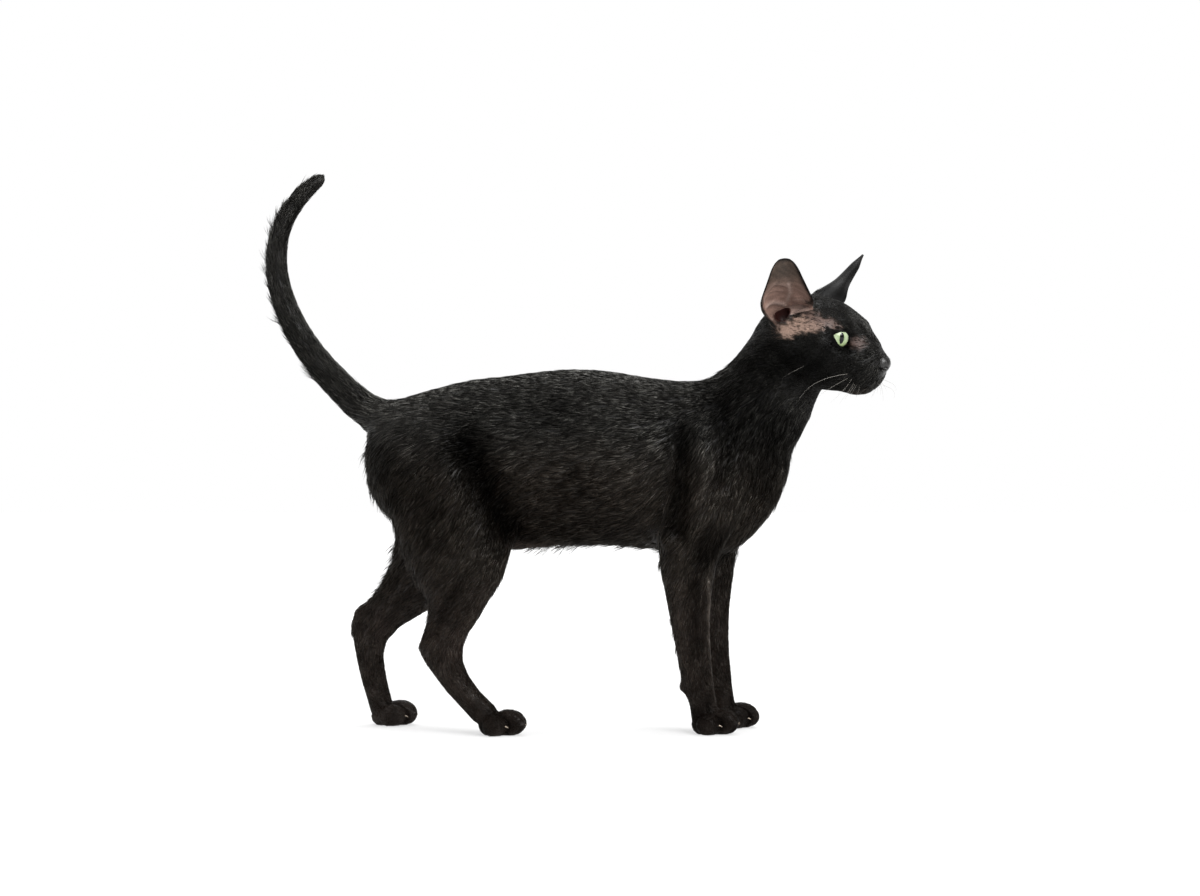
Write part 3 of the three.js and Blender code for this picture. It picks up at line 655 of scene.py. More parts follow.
# The opening between the lids, as a prism out through them.
def lidPrism(side):
    e = eyeSettings
    t = np.concatenate([np.arange(24) / 24, 1 - np.arange(24) / 24])
    across = e["outer"] - (e["outer"] + e["inner"]) * t
    half = np.array([1] * 24 + [-1] * 24)
    # The upper lid is highest near the outer corner, and the lower lid lowest towards the inner one.
    up = np.where(half > 0, e["upper"] * np.sin(np.pi * t**0.9) ** 0.8, -e["lower"] * np.sin(np.pi * t**1.1) ** 0.9)
    up = up + e["axis"]
    rings = [np.stack([np.full(48, depth), across * wide, up * wide], 1) for depth, wide in ((1.0, 0.9), (24.0, 1.12))]
    co = np.concatenate(rings + [[[1.0, -1, e["axis"]]], [[24.0, -1, e["axis"]]]])
    prism = meshPiece("opening", toFrame(eyeMatrix(side), co @ lidSlant.T), tubeFaces(2, 48), smooth=False)
    return editAll(prism, bpy.ops.mesh.normals_make_consistent, inside=False)


def makeSkin():
    s = skinSettings
    copies = []
    for name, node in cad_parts.items():
        if not name.startswith("ear"):
            copy = editAll(addObject("flesh", node.data.copy()), bpy.ops.mesh.remove_doubles, threshold=0.00001)
            movePoints(copy, points(copy) + normals(copy) * s["reach"] * mm)
            copies.append(copy)
    copies += [filler(eyeMatrix(side), [eyeSettings["lidBall"]] * 3) for side in sides]
    # Where the ears' tubes were cut out of the head, the head is whole again.
    copies += [filler(earMatrix(side), **earSettings["below"]) for side in sides]
    for matrix, length, sign in paws:
        for place, radii in toeForms(length, sign):
            copies.append(filler(matrix, [r + s["thinCoat"] + s["reach"] for r in radii], place))
    deselectAll()
    for copy in copies:
        copy.select_set(True)
    bpy.context.view_layer.objects.active = copies[0]
    bpy.ops.object.join()
    skin = bpy.context.object
    skin.name = skin.data.name = "skin"

    # The legs and the neck run into the trunk without a step.
    coarse = addObject("coarse", skin.data.copy())
    modify(coarse, "REMESH", mode="VOXEL", voxel_size=s["coarse"] * mm)
    before = points(coarse)
    moved = evenOut(before, edges(coarse), s["coarseRounds"], bodyShare(before)) - before
    tree = KDTree(len(before))
    for i, p in enumerate(before):
        tree.insert(p, i)
    tree.balance()
    bpy.data.objects.remove(coarse)

    modify(skin, "REMESH", mode="VOXEL", voxel_size=s["voxel"] * mm)
    co = points(skin)
    shift = np.zeros_like(co)
    for i in np.where(bodyShare(co) > 0.001)[0]:
        near = tree.find_n(co[i], 4)
        weight = np.array([1 / (n[2] + 0.0003) for n in near])
        shift[i] = (moved[[n[1] for n in near]] * weight[:, None]).sum(0) / weight.sum()
    # The toes keep their edges, and the nose runs into the muzzle.
    co = evenOut(co + shift, edges(skin), s["fineRounds"], 0.4 + 0.5 * smoothStep(18, 34, co[:, 2] / mm))
    fromNose = np.linalg.norm(inFrame(headMatrix, co) - s["noseRoot"], axis=1)
    co = evenOut(co, edges(skin), s["noseRounds"], 0.8 * (1 - smoothStep(8, 15, fromNose)))
    movePoints(skin, co)

    inside = s["thinCoat"] + (s["coatDepth"] - s["thinCoat"]) * bodyShare(co) + s["reach"]
    fromTip = np.linalg.norm(inFrame(headMatrix, co) - s["noseTip"], axis=1)
    inside -= s["noseOut"] * (1 - smoothStep(1.5, 9.5, fromTip))
    movePoints(skin, co - normals(skin) * inside[:, None] * mm)
    movePoints(skin, setLids(shapeToes(points(skin))))
    movePoints(skin, pressForms(points(skin), normals(skin)))

    # The head keeps its fine mesh, the paws most of it, and the trunk under its fur the least.
    co = points(skin)
    group = skin.vertex_groups.new(name="coarse")
    share = np.clip(smoothStep(0.95, 1.2, headDistance(co)), 0, 1) * (0.35 + 0.65 * smoothStep(20, 40, co[:, 2] / mm))
    for level in np.unique(np.round(share, 1)):
        group.add(np.where(np.round(share, 1) == level)[0].tolist(), float(level), "REPLACE")
    modify(skin, "DECIMATE", ratio=s["triangles"] / (len(skin.data.polygons) * 2.0), vertex_group="coarse",
           vertex_group_factor=0.5)
    skin.vertex_groups.clear()
    print("skin", len(skin.data.polygons), "faces")

    flesh = addObject("flesh", skin.data.copy())
    for side in sides:
        canal = filler(earMatrix(side), earSettings["canal"]["radii"], canalPlace(side), 24, 16)
        combine(skin, "DIFFERENCE", canal)
        combine(skin, "UNION", earLeaf(side))
        combine(skin, "DIFFERENCE", lidPrism(side), *nostrils(side, 0.4))
    modify(skin, "TRIANGULATE")

    # Soft roots for the ears, and rounded rims for the lids.
    co = points(skin)
    share, fore = np.zeros(len(co)), np.zeros(len(co))
    for side in sides:
        across, up, off = earPlace(side, co)
        root = bell(up - 0.08, 0.2) * (np.abs(off) < 4) * smoothStep(1.6, 1.0, np.abs(across))
        corner = smoothStep(0.6, 0.9, across) * (across < 1.6) * (1 - smoothStep(0.12, 0.34, up)) * (np.abs(up) < 0.4)
        fore = np.maximum(fore, corner * (np.abs(off) < 5) * (headDistance(co) < 1.5))
        place = lidPlace(side, co)
        lid = (place[:, 0] > 3) * (np.abs(lidRing(place, *eyeSettings["rim"]) - 1.05) < 0.3)
        share = np.maximum(share, np.maximum(root * 0.5 * (headDistance(co) < 1.5), lid * 0.8))
    movePoints(skin, evenOut(evenOut(co, edges(skin), 5, share), edges(skin), 14, fore * 0.9))
    shadeSmooth(skin)
    print("skin whole", len(skin.data.polygons), "faces")
    return skin, flesh


# ---- colours of skin and coat, from a few named places
# The tint hollow is painted shade, for the ears' canals.
tints = {
    "coat": "#0c0b0a", "flank": "#150f0a", "lowerLeg": "#1a120d", "chin": "#221914", "belly": "#453a34",
    "temple": "#846e62", "nearEye": "#54443e", "corner": "#4f3f3a", "earLow": "#725c53", "earHigh": "#40362f",
    "hollow": "#2a1512", "crest": "#86746c", "hock": "#2a201c",
}
# name of the tint, frame, place, reach along the three axes, most share
spots = [
    ("belly", "cat", (-28, -14, 148), (30, 24, 7), 0.8),
    ("hock", "cat", (-96, -28, 74), (14, 12, 26), 0.5),
    ("hock", "cat", (-158, 36, 80), (9, 12, 22), 0.5),
    ("chin", "head", (50, 0, -32), (16, 14, 6.5), 0.7),
    ("nearEye", "head", (7, 32, 24), (11, 10, 8), 0.7),
    ("temple", "head", (-8, 35, 7), (10, 10, 7), 0.95),
    ("temple", "head", (2, 34, 14), (12, 10, 8), 0.85),
    ("nearEye", "head", (15, 31, 17), (11, 9, 7), 0.85),
    ("nearEye", "head", (26, 26, 18), (10, 8, 5), 0.7),
    ("temple", "head", (12, 33, 13), (9, 9, 5), 0.5),
    ("corner", "head", (43.8, 14, 5), (8, 8, 6), 0.7),
]
# Painted highlights and painted shade on the coat, seen from the side: the frame, the line, its width and how much.
paintedLightAndShade = [
    ("cat", [(84, 240), (84, 205), (79, 165)], 8, -1.55), ("cat", [(-84, 226), (-68, 200), (-54, 170)], 15, -2.5),
    ("cat", [(150, 296), (122, 262)], 20, -0.75), ("cat", [(160, 245), (150, 205)], 16, -0.95),
    ("cat", [(140, 262), (134, 236)], 16, -0.55), ("cat", [(-108, 178), (-114, 158)], 16, -0.55),
    ("cat", [(-152, 225), (-138, 190)], 12, -0.8), ("cat", [(-126, 210), (-112, 185)], 7, -0.7),
    ("cat", [(-152, 252), (-105, 272)], 18, 0.8), ("cat", [(-60, 288), (60, 285)], 22, 0.4),
    ("cat", [(-40, 225), (40, 225)], 26, 0.3), ("cat", [(-12, 262), (-16, 244)], 6, -0.6),
    ("cat", [(5, 205), (12, 190)], 9, -0.5), ("cat", [(40, 165), (-30, 162)], 14, -0.35),
    ("cat", [(112, 258), (122, 232), (118, 205)], 8, -0.8), ("cat", [(101, 236), (100, 180)], 8, 0.15),
    ("cat", [(108, 164), (96, 130), (95, 70)], 7, -0.7), ("cat", [(84, 140), (80, 60)], 6, 0.3),
    ("cat", [(103, 145), (120, 165)], 8, -0.8), ("right", [(101, 52), (99, 24)], 7, -0.5),
    ("cat", [(92, 12), (132, 10)], 12, -0.9), ("right", [(-80, 12), (-42, 10)], 12, -0.6),
    ("cat", [(-88, 120), (-100, 95)], 10, -0.55), ("cat", [(-86, 60), (-62, 22)], 8, -0.5),
    ("head", [(20, -14), (-14, -22), (-30, -40)], 20, -1.3), ("head", [(-12, 42), (22, 36)], 12, -0.7),
    ("head", [(42, -14), (62, -16)], 12, -0.3),
    ("right", [(105, 134), (104.5, 80), (111, 22)], 1.8, 1.0), ("left", [(122, 135), (120, 40)], 14, -0.4),
]


def mixIn(colour, name, share):
    share = np.clip(share, 0, 1)[:, None]
    return colour * (1 - share) + np.array(linear(tints[name])[:3]) * share


# The colour of each place, and how bare of hair it is.
def tintAt(co):
    z = co[:, 2] / mm
    frames = {"cat": co / mm, "head": headPlace(co)}
    colour = np.tile(linear(tints["coat"])[:3], (len(co), 1))
    colour = mixIn(colour, "flank", (1 - smoothStep(195, 250, z)) * smoothStep(1.0, 1.4, headDistance(co)))
    colour = mixIn(colour, "lowerLeg", 1 - smoothStep(90, 150, z))
    bare = np.zeros(len(co))
    for name, kind, at, reach, most in spots:
        p = frames[kind]
        wobble = 0.12 * np.sin(p[:, 0] * 0.9 + p[:, 2] * 0.5) + 0.1 * np.sin(p[:, 2] * 1.3 - p[:, 1] * 0.8)
        near = np.linalg.norm((p - at) / reach, axis=1) + wobble
        share = (1 - smoothStep(0.55, 1.15, near)) * most
        colour = mixIn(colour, name, share)
        if name in ("temple", "nearEye", "corner"):
            bare = np.maximum(bare, share)
    for side in sides:
        across, up, off = earPlace(side, co)
        # In front of the root the bare skin runs over the margin to the temple. Above it the margins are dark.
        fore = (across > 0.8) * (1 - smoothStep(0.06, 0.2, up))
        margin = smoothStep(1.0, 0.82, -across) * smoothStep(1.0, 0.6, across)
        onLeaf = (off < 0.25 + 0.15 * fore) * (off > -4.5 - 12 * (up < 0.4)) * (up > -0.16) * (up < 1.03)
        inner = onLeaf * (np.abs(across) < 1.04) * (headDistance(co) < 2.4)
        inner = inner * np.maximum(margin, fore) * smoothStep(1.0, 0.93, up)
        earColour = mixIn(np.tile(linear(tints["earLow"])[:3], (len(co), 1)), "earHigh", smoothStep(0.3, 0.75, up))
        veins = np.sin(across * 7 + 2 * np.sin(up * 17)) * np.sin(up * 29 + across * 5)
        earColour = earColour * (1 + 0.25 * veins[:, None])
        rise = np.clip(-off - earSettings["thickness"] * 0.6, 0, 2)
        earColour = mixIn(earColour, "crest", smoothStep(0.2, 1.4, rise) * 0.75)
        colour = colour * (1 - inner[:, None]) + earColour * inner[:, None]
        # Painted shade deep in the canal: its dark tint stands in for the shade there.
        hollow = (inFrame(earMatrix(side), co) - canalPlace(side)) / earSettings["canal"]["radii"]
        inHollow = (1 - smoothStep(1.03, 1.2, np.linalg.norm(hollow, axis=1))) * (off < 0)
        colour = mixIn(colour, "hollow", inHollow)
        bare = np.maximum(bare, np.maximum(inner, inHollow))
    return colour, bare


# How light the coat is: painted shade in the hollows of the body, painted highlights on its swellings, and darker on
# the ears.
def toneAt(co):
    x, y, z = (co / mm).T
    local = inFrame(headMatrix, co)
    onHead = 1 - smoothStep(0.95, 1.25, headDistance(co))
    where = {"head": onHead, "cat": 1 - onHead, "right": y < -4, "left": y > 4}
    # Painted shade in the grooves between the toes.
    tone = -0.8 * toeGroove(co, 1.2)
    for kind, path, width, change in paintedLightAndShade:
        a, b = (local[:, 0], local[:, 2]) if kind == "head" else (x, z)
        tone += change * where[kind] * bell(lineDistance(a, b, path), width)
    # Locks that catch the light or lie in each other's shade.
    wave = np.sin(x * 0.19 + z * 0.31 + 1.3 * np.sin(z * 0.11 + y * 0.07))
    tone += 0.16 * (wave + np.sin(x * 0.34 - z * 0.22 + y * 0.2))
    # Painted shade, in colour and gloss, in a ring round each eye.
    for side in sides:
        place = lidPlace(side, co)
        tone -= 1.2 * (place[:, 0] > 0) * (1 - smoothStep(0.8, 1.5, lidRing(place, *eyeSettings["dark"])))
    return np.exp(tone - 0.6 * earShare(co))


# Colour in the first three channels, and the share of gloss in the last.
def setTint(piece, colour, gloss):
    attribute = piece.data.attributes.new("tint", "FLOAT_COLOR", "POINT")
    write(attribute.data, "color", np.concatenate([colour, gloss[:, None]], 1))


# ---- materials
# Skin or hair: its colour is the tint of its points, and its gloss the given one times the tint's last channel.
def tintedMaterial(name, gloss, settings):
    material, tree, shader = principled(name, settings)
    tint = addNode(tree, "ShaderNodeAttribute", {"attribute_name": "tint"})
    shine = addNode(tree, "ShaderNodeMath", {"operation": "MULTIPLY", 1: gloss}, {0: tint.outputs["Alpha"]})
    tree.links.new(shine.outputs[0], shader.inputs["Specular IOR Level"])
    tree.links.new(tint.outputs["Color"], shader.inputs["Base Color"])
    return material, tree, shader, tint


# Black skin with short hair lying on it, in fine grain.
def skinMaterial():
    values = {"roughness": 0.45, "specular": 0.2, "grain": 900, "bump": 0.4, "depth": 0.2 * mm}
    material, tree, shader, tint = tintedMaterial("Skin and close short hair", values["specular"],
                                                  {"Roughness": values["roughness"]})
    where = addNode(tree, "ShaderNodeTexCoord")
    grain = addNode(tree, "ShaderNodeTexNoise", {"Scale": values["grain"], "Detail": 3.0},
                    {"Vector": where.outputs["Object"]})
    bump = addNode(tree, "ShaderNodeBump", {"Strength": values["bump"], "Distance": values["depth"]},
                   {"Height": grain.outputs["Fac"]})
    speckle = addNode(tree, "ShaderNodeMapRange", {"From Min": 0.3, "From Max": 0.7, "To Min": 0.72, "To Max": 1.25},
                      {"Value": grain.outputs["Fac"]})
    mottled = addNode(tree, "ShaderNodeVectorMath", {"operation": "SCALE"},
                      {0: tint.outputs["Color"], "Scale": speckle.outputs[0]})
    tree.links.new(mottled.outputs[0], shader.inputs["Base Color"])
    tree.links.new(bump.outputs["Normal"], shader.inputs["Normal"])
    return material


# Glossy short black hair.
def coatMaterial():
    values = {"roughness": 0.32, "specular": 0.27, "sheen": (1.0, 0.98, 0.89, 1)}
    return tintedMaterial("Glossy black hair", values["specular"],
                          {"Roughness": values["roughness"], "Specular Tint": values["sheen"]})[0]


# Damp, finely pebbled nose leather.
def noseMaterial():
    values = {"colour": "#141312", "roughness": 0.32, "specular": 0.45, "pebbles": 1300, "depth": 0.25 * mm}
    material, tree, shader = principled("Damp nose leather", {
        "Base Color": linear(values["colour"]), "Roughness": values["roughness"],
        "Specular IOR Level": values["specular"]})
    where = addNode(tree, "ShaderNodeTexCoord")
    pebbles = addNode(tree, "ShaderNodeTexVoronoi", {"Scale": values["pebbles"]}, {"Vector": where.outputs["Object"]})
    bump = addNode(tree, "ShaderNodeBump", {"Strength": 0.4, "Distance": values["depth"]},
                   {"Height": pebbles.outputs["Distance"]})
    tree.links.new(bump.outputs["Normal"], shader.inputs["Normal"])
    return material


# Keratin: pale horn of the claws, or a stiff white whisker.
def keratinMaterial(name, colour, roughness):
    return principled(name, {"Base Color": linear(colour), "Roughness": roughness})[0]


# Wet eye: the map runs from the pupil at (0.5, 0.5), 1 for every 20 mm.
def eyeMaterial():
    values = {"iris": "#9aa688", "irisLow": "#93a375", "irisInner": "#6d7f59", "edge": "#0c0f0a", "white": "#3a2c28",
              "pupil": "#020302", "irisRadius": 7.4, "pupilWide": 1.9, "pupilTall": 4.6}
    material, tree, shader = principled("Wet eye with a slit pupil", {
        "Roughness": 0.25, "Specular IOR Level": 0.03, "Coat Weight": 0.9, "Coat IOR": 1.34, "Coat Roughness": 0.02})
    uv = addNode(tree, "ShaderNodeUVMap", {"uv_map": "gaze"})
    place = addNode(tree, "ShaderNodeVectorMath", {"operation": "MULTIPLY_ADD", 1: (20, 20, 0), 2: (-10, -10, 0)},
                    {0: uv.outputs["UV"]})
    split = addNode(tree, "ShaderNodeSeparateXYZ", None, {0: place.outputs[0]})
    length = addNode(tree, "ShaderNodeVectorMath", {"operation": "LENGTH"}, {0: place.outputs[0]})
    squeezed = addNode(tree, "ShaderNodeVectorMath", {"operation": "MULTIPLY",
                       1: (1 / values["pupilWide"], 1 / values["pupilTall"], 0)}, {0: place.outputs[0]})
    slit = addNode(tree, "ShaderNodeVectorMath", {"operation": "LENGTH"}, {0: squeezed.outputs[0]})
    ray = addNode(tree, "ShaderNodeVectorMath", {"operation": "NORMALIZE"}, {0: place.outputs[0]})
    fibres = addNode(tree, "ShaderNodeTexNoise", {"Scale": 9.0, "Detail": 4.0}, {"Vector": ray.outputs[0]})

    # Each colour is laid over the ones before it, from one value of its measure to another, up to a share.
    radius, fromPupil = values["irisRadius"], length.outputs["Value"]
    layers = [
        (split.outputs["Y"], 0.5, -6.0, 1.0, "irisLow"), (fromPupil, 4.6, 1.2, 1.0, "irisInner"),
        (fibres.outputs["Fac"], 0.45, 0.7, 0.5, "irisInner"), (fromPupil, radius - 0.7, radius, 1.0, "edge"),
        (fromPupil, radius + 0.2, radius + 0.9, 1.0, "white"), (slit.outputs["Value"], 1.06, 0.94, 1.0, "pupil"),
    ]
    under = {}
    for source, low, high, most, name in layers:
        share = addNode(tree, "ShaderNodeMapRange", {"interpolation_type": "SMOOTHSTEP", "From Min": low,
                                                     "From Max": high, "To Max": most}, {"Value": source})
        # The inputs 6 and 7 are the two colours.
        laid = addNode(tree, "ShaderNodeMix", {"data_type": "RGBA", 6: linear(values["iris"]), 7: linear(values[name])},
                       {0: share.outputs[0], **under})
        under = {6: laid.outputs[2]}
    tree.links.new(laid.outputs[2], shader.inputs["Base Color"])
    return material


# ---- eyes
def makeEye(side, material):
    e = eyeSettings
    ball = filler(Matrix.Identity(4), (1, 1, 1), around=96, rings=64)
    ball.name = ball.data.name = "eye_" + side
    # The poles of the sphere lie across the line of sight.
    co = unit(points(ball))[:, [2, 0, 1]]
    bulge = e["cornea"] * smoothStep(0.62, 1.0, co[:, 0])
    co = co * (e["ball"] + bulge)[:, None]
    corners = read(ball.data.loops, "vertex_index", 1, np.int32).ravel()
    uv = ball.data.uv_layers[0]
    uv.name = "gaze"
    write(uv.data, "uv", co[corners][:, 1:] / 20 + 0.5)
    movePoints(ball, toFrame(eyeMatrix(side) @ turned(0, 0, e["gaze"]), co))
    if eyeMatrix(side).determinant() < 0:
        ball.data.flip_normals()
    shadeSmooth(ball)
    finishPiece(ball, material, "eye", "eye_" + side)


# ---- nose
# The leather follows the skin below it: what lies of a slightly thicker skin in the form of the pad.
def makeNose(flesh, material):
    s = noseSettings
    bound = filler(Matrix.Identity(4), [1 / mm] * 3, around=72, rings=48)
    co = points(bound)
    co[:, 1] *= 1 + s["taper"] * co[:, 2]
    co = turnTo(turned(0, s["tilt"], 0), co * s["radii"]) + s["at"]
    movePoints(bound, toFrame(headMatrix, co))
    x, y, z = inFrame(headMatrix, points(flesh)).T
    raised = s["raised"] - heightOf([s["groove"]], y, z) * (x > 60)
    movePoints(flesh, points(flesh) + normals(flesh) * raised[:, None] * mm)
    combine(flesh, "INTERSECT", bound)
    flesh.name = flesh.data.name = "nose"
    for side in sides:
        combine(flesh, "DIFFERENCE", *nostrils(side, 0))
    modify(flesh, "TRIANGULATE")
    shadeSmooth(flesh)
    finishPiece(flesh, material, "nose_leather", "nose")


# ---- claws
# A closed tube along points, with a radius at each and rounded ends.
def tube(path, radii, around):
    path, radii = np.asarray(path, float), np.asarray(radii, float)
    along = unit(np.gradient(path, axis=0))
    side = unit(np.cross(along, [0.13, 0.31, 0.94]))
    up = np.cross(side, along)
    turn = np.linspace(0, 2 * np.pi, around, endpoint=False)
    rings = path[:, None] + radii[:, None, None] * (np.cos(turn)[None, :, None] * side[:, None]
                                                   + np.sin(turn)[None, :, None] * up[:, None])
    return np.concatenate([rings.reshape(-1, 3), path[:1], path[-1:]]), tubeFaces(len(path), around)


def joinTubes(name, tubes):
    co, faces, start = [], [], 0
    for c, f in tubes:
        co.append(c)
        faces.append(f + start)
        start += len(c)
    piece = meshPiece(name, np.concatenate(co) * mm, np.concatenate(faces))
    return editAll(piece, bpy.ops.mesh.normals_make_consistent, inside=False)


def makeClaws(material):
    c, tubes = pawSettings["claw"], []
    t = np.linspace(0, 1, c["steps"])
    angle = 0.05 - t * c["length"] * c["bend"] * 1.3
    for matrix, length, sign in paws:
        for (x0, y0, z0), radii in toeForms(length, sign):
            x = x0 + radii[0] + c["out"] - c["length"] + np.cumsum(np.cos(angle)) * c["length"] / c["steps"]
            z = z0 + np.cumsum(np.sin(angle)) * c["length"] / c["steps"]
            path = toFrame(matrix, np.stack([x, np.full_like(x, y0), z], 1)) / mm
            tubes.append(tube(path, c["radius"] * (1 - t**1.3) + 0.1, c["sides"]))
    finishPiece(joinTubes("claws", tubes), material, "coat")


# ---- whiskers, and the long hairs of the chin and the cheeks
whiskerSettings = {
    # arch: how far they stand out from the cheek before they fall back
    "arch": 26, "sunk": 0.6, "thickness": 0.85, "taper": 0.8, "sides": 6, "steps": 15,
    # start, middle and end in the head's frame on the right; the last number is the root's radius in mm
    "hairs": [
        ((39.5, -15, -19.6), (21.3, -34, -29), (12.8, -48, -46.2), 0.17),
        ((39.9, -15, -22.8), (32.5, -34, -31.7), (27, -46, -41), 0.14),
        ((42.9, -15, -22.9), (42.6, -32, -32.3), (38, -42, -42), 0.14),
        ((44.8, -14, -26), (46.1, -30, -33), (44, -38, -42), 0.13),
        ((46.2, -14, -26.6), (47.6, -28, -32), (46, -36, -40), 0.12),
        ((47.4, -14, -27.3), (49.4, -26, -30.9), (50, -33, -37), 0.13),
        ((49.5, -13, -28.1), (52.7, -24, -31.6), (54, -30, -37), 0.12),
        ((64.2, -5, -24.9), (68, -10, -30), (70.8, -14, -36.4), 0.1),
        ((65.9, -4, -23), (69, -9, -26), (72, -12, -29.5), 0.1),
        ((10.2, -36, -18.3), (3, -41, -23), (-3.7, -44, -29.8), 0.11),
    ],
}


def makeWhiskers(material, skinTree):
    s, tubes = whiskerSettings, []
    t = np.linspace(0, 1, s["steps"])[:, None]
    for sign in (1, -1):
        for start, middle, end, radius in s["hairs"]:
            ends = np.array([start, middle, end]) * (1, sign, 1)
            # The root lies where a line from beside the head meets the skin.
            beside = unit(np.array([0.41, -0.91 * sign, 0.0]))
            origin, way = toFrame(headMatrix, ends[0] + beside * 60), turnTo(headMatrix, -beside)
            root = skinTree.ray_cast(Vector(origin), Vector(way))[0]
            root = root or skinTree.find_nearest(Vector(toFrame(headMatrix, ends[0])))[0]
            ends[0] = inFrame(headMatrix, np.array(root) + way * s["sunk"] * mm)
            bend = 2 * ends[1] - (ends[0] + ends[2]) / 2
            path = ends[0] * (1 - t) ** 2 + bend * 2 * t * (1 - t) + ends[2] * t**2
            path = path + beside * s["arch"] * t * (1 - t) ** 2
            radii = s["thickness"] * radius * (1 - s["taper"] * t[:, 0])
            tubes.append(tube(toFrame(headMatrix, path) / mm, radii, s["sides"]))
    finishPiece(joinTubes("whiskers", tubes), material, "coat")


# ---- the coat: tufts of short hair lying on the skin
coatSettings = {
    # body, face: how long and how wide the tufts are there; the spreads: their least and most share of that
    "tufts": 136000, "pieces": 7, "body": (15, 0.67), "face": (2.4, 0.38),
    "lengthSpread": (0.75, 1.25), "widthSpread": (0.75, 1.2), "liftSpread": (0.3, 1.5), "thick": 0.42, "sunk": 0.3,
    "lift": 0.9, "turnSpread": 0.075, "swing": 0.12, "shade": 0.42, "fringe": 2.9, "patch": 0.003,
}
# Which way the hair lies, seen from the side: x, z and the direction there.
lie = [
    (160, 290, -0.75, -0.65), (130, 285, -0.9, -0.45), (100, 280, -1, -0.1), (60, 280, -1, 0), (0, 285, -1, 0),
    (-60, 282, -1, 0), (-110, 270, -1, 0.02), (-150, 250, -0.8, 0.3), (-165, 225, -0.5, -0.85),
    (-140, 225, -0.75, -0.65), (-100, 240, -0.95, -0.3), (-60, 240, -1, -0.12), (0, 240, -1, -0.1),
    (50, 240, -1, -0.12), (90, 235, -0.7, -0.7), (115, 240, -0.6, -0.8), (140, 250, -0.5, -0.87),
    (165, 230, -0.35, -0.94), (160, 205, -0.45, -0.9),
    (130, 190, -0.5, -0.87), (100, 195, -0.5, -0.87), (70, 200, -0.75, -0.65), (30, 200, -0.97, -0.25),
    (-20, 200, -0.97, -0.2), (-50, 195, -0.8, -0.6), (-75, 190, -0.55, -0.83), (-110, 195, -0.6, -0.8),
    (-145, 190, -0.45, -0.9), (60, 160, -0.8, -0.6), (20, 155, -0.97, -0.15), (-25, 155, -0.97, -0.1),
    (-60, 155, -0.45, -0.9), (-90, 150, -0.55, -0.83), (-125, 150, -0.6, -0.8), (-155, 150, -0.5, -0.87),
    (110, 160, -0.5, -0.87), (85, 140, -0.45, -0.9), (95, 100, -0.25, -0.97), (95, 60, -0.15, -0.99),
    (100, 30, 0.3, -0.95), (118, 12, 0.85, -0.5), (130, 8, 0.9, -0.4), (145, 8, 0.9, -0.4),
    (-85, 115, -0.7, -0.7), (-105, 90, -0.75, -0.65), (-120, 68, -0.4, -0.9), (-100, 45, 0.6, -0.8),
    (-80, 22, 0.7, -0.7), (-58, 10, 0.85, -0.5), (-40, 8, 0.9, -0.4), (-145, 110, -0.75, -0.65),
    (-172, 85, -0.6, -0.8), (-176, 60, 0.05, -1), (-170, 35, 0.15, -0.99), (-160, 15, 0.6, -0.8), (-138, 8, 0.9, -0.4),
    (-175, 263, -0.75, 0.65), (-195, 280, -0.7, 0.72), (-211, 300, -0.6, 0.8), (-225, 321, -0.48, 0.88),
    (-235, 344, -0.32, 0.95), (-240, 366, -0.12, 0.99), (-240, 388, 0.13, 0.99), (-234, 408, 0.4, 0.91),
    (-222, 427, 0.6, 0.8), (-206, 441, 0.75, 0.65),
]
# Where the hair stands out: x, z, reach, the way the skin faces there in x and z, and the extra height in mm.
loose = [
    (-205, 285, 30, -0.8, -0.5, 1.6), (-232, 325, 30, -0.9, -0.3, 2.0), (-248, 365, 26, -1, 0, 2.2),
    (-240, 400, 26, -0.95, 0.3, 2.2), (-218, 430, 16, -0.7, 0.7, 1.6), (-203, 443, 8, 0.5, 0.8, 1.6),
    (-165, 225, 22, -1, 0, 1.8), (-158, 185, 28, -1, 0, 2.5), (-155, 150, 26, -1, 0, 3.2),
    (-165, 118, 22, -0.9, 0, 2.8), (-135, 125, 22, -0.9, 0, 1.8), (-120, 100, 18, -0.9, 0, 1.4),
    (-8, 147, 42, 0, -1, 3.8), (45, 146, 30, 0, -1, 1.8), (70, 142, 14, -0.7, -0.7, 1.8),
    (-45, 120, 26, 0.9, -0.3, 1.1), (150, 190, 24, 0.7, -0.7, 1.2), (128, 150, 22, 0.9, -0.4, 1.3),
    (165, 235, 24, 1, 0, 0.8), (172, 268, 18, 0.8, -0.6, 1.2), (72, 80, 40, -1, 0, 0.8),
    (120, 296, 20, -0.5, 0.8, 0.7), (-184, 82, 10, -1, 0, 0.9), (-126, 68, 10, -1, 0, 0.8),
]


def onTail(co):
    return smoothStep(-165, -195, co[:, 0] / mm) * (co[:, 2] > 0.25)


# Turns directions by angles, along a skin that faces as n says.
def turnAlong(direction, n, angle):
    return unit(direction * np.cos(angle)[:, None] + np.cross(n, direction) * np.sin(angle)[:, None])


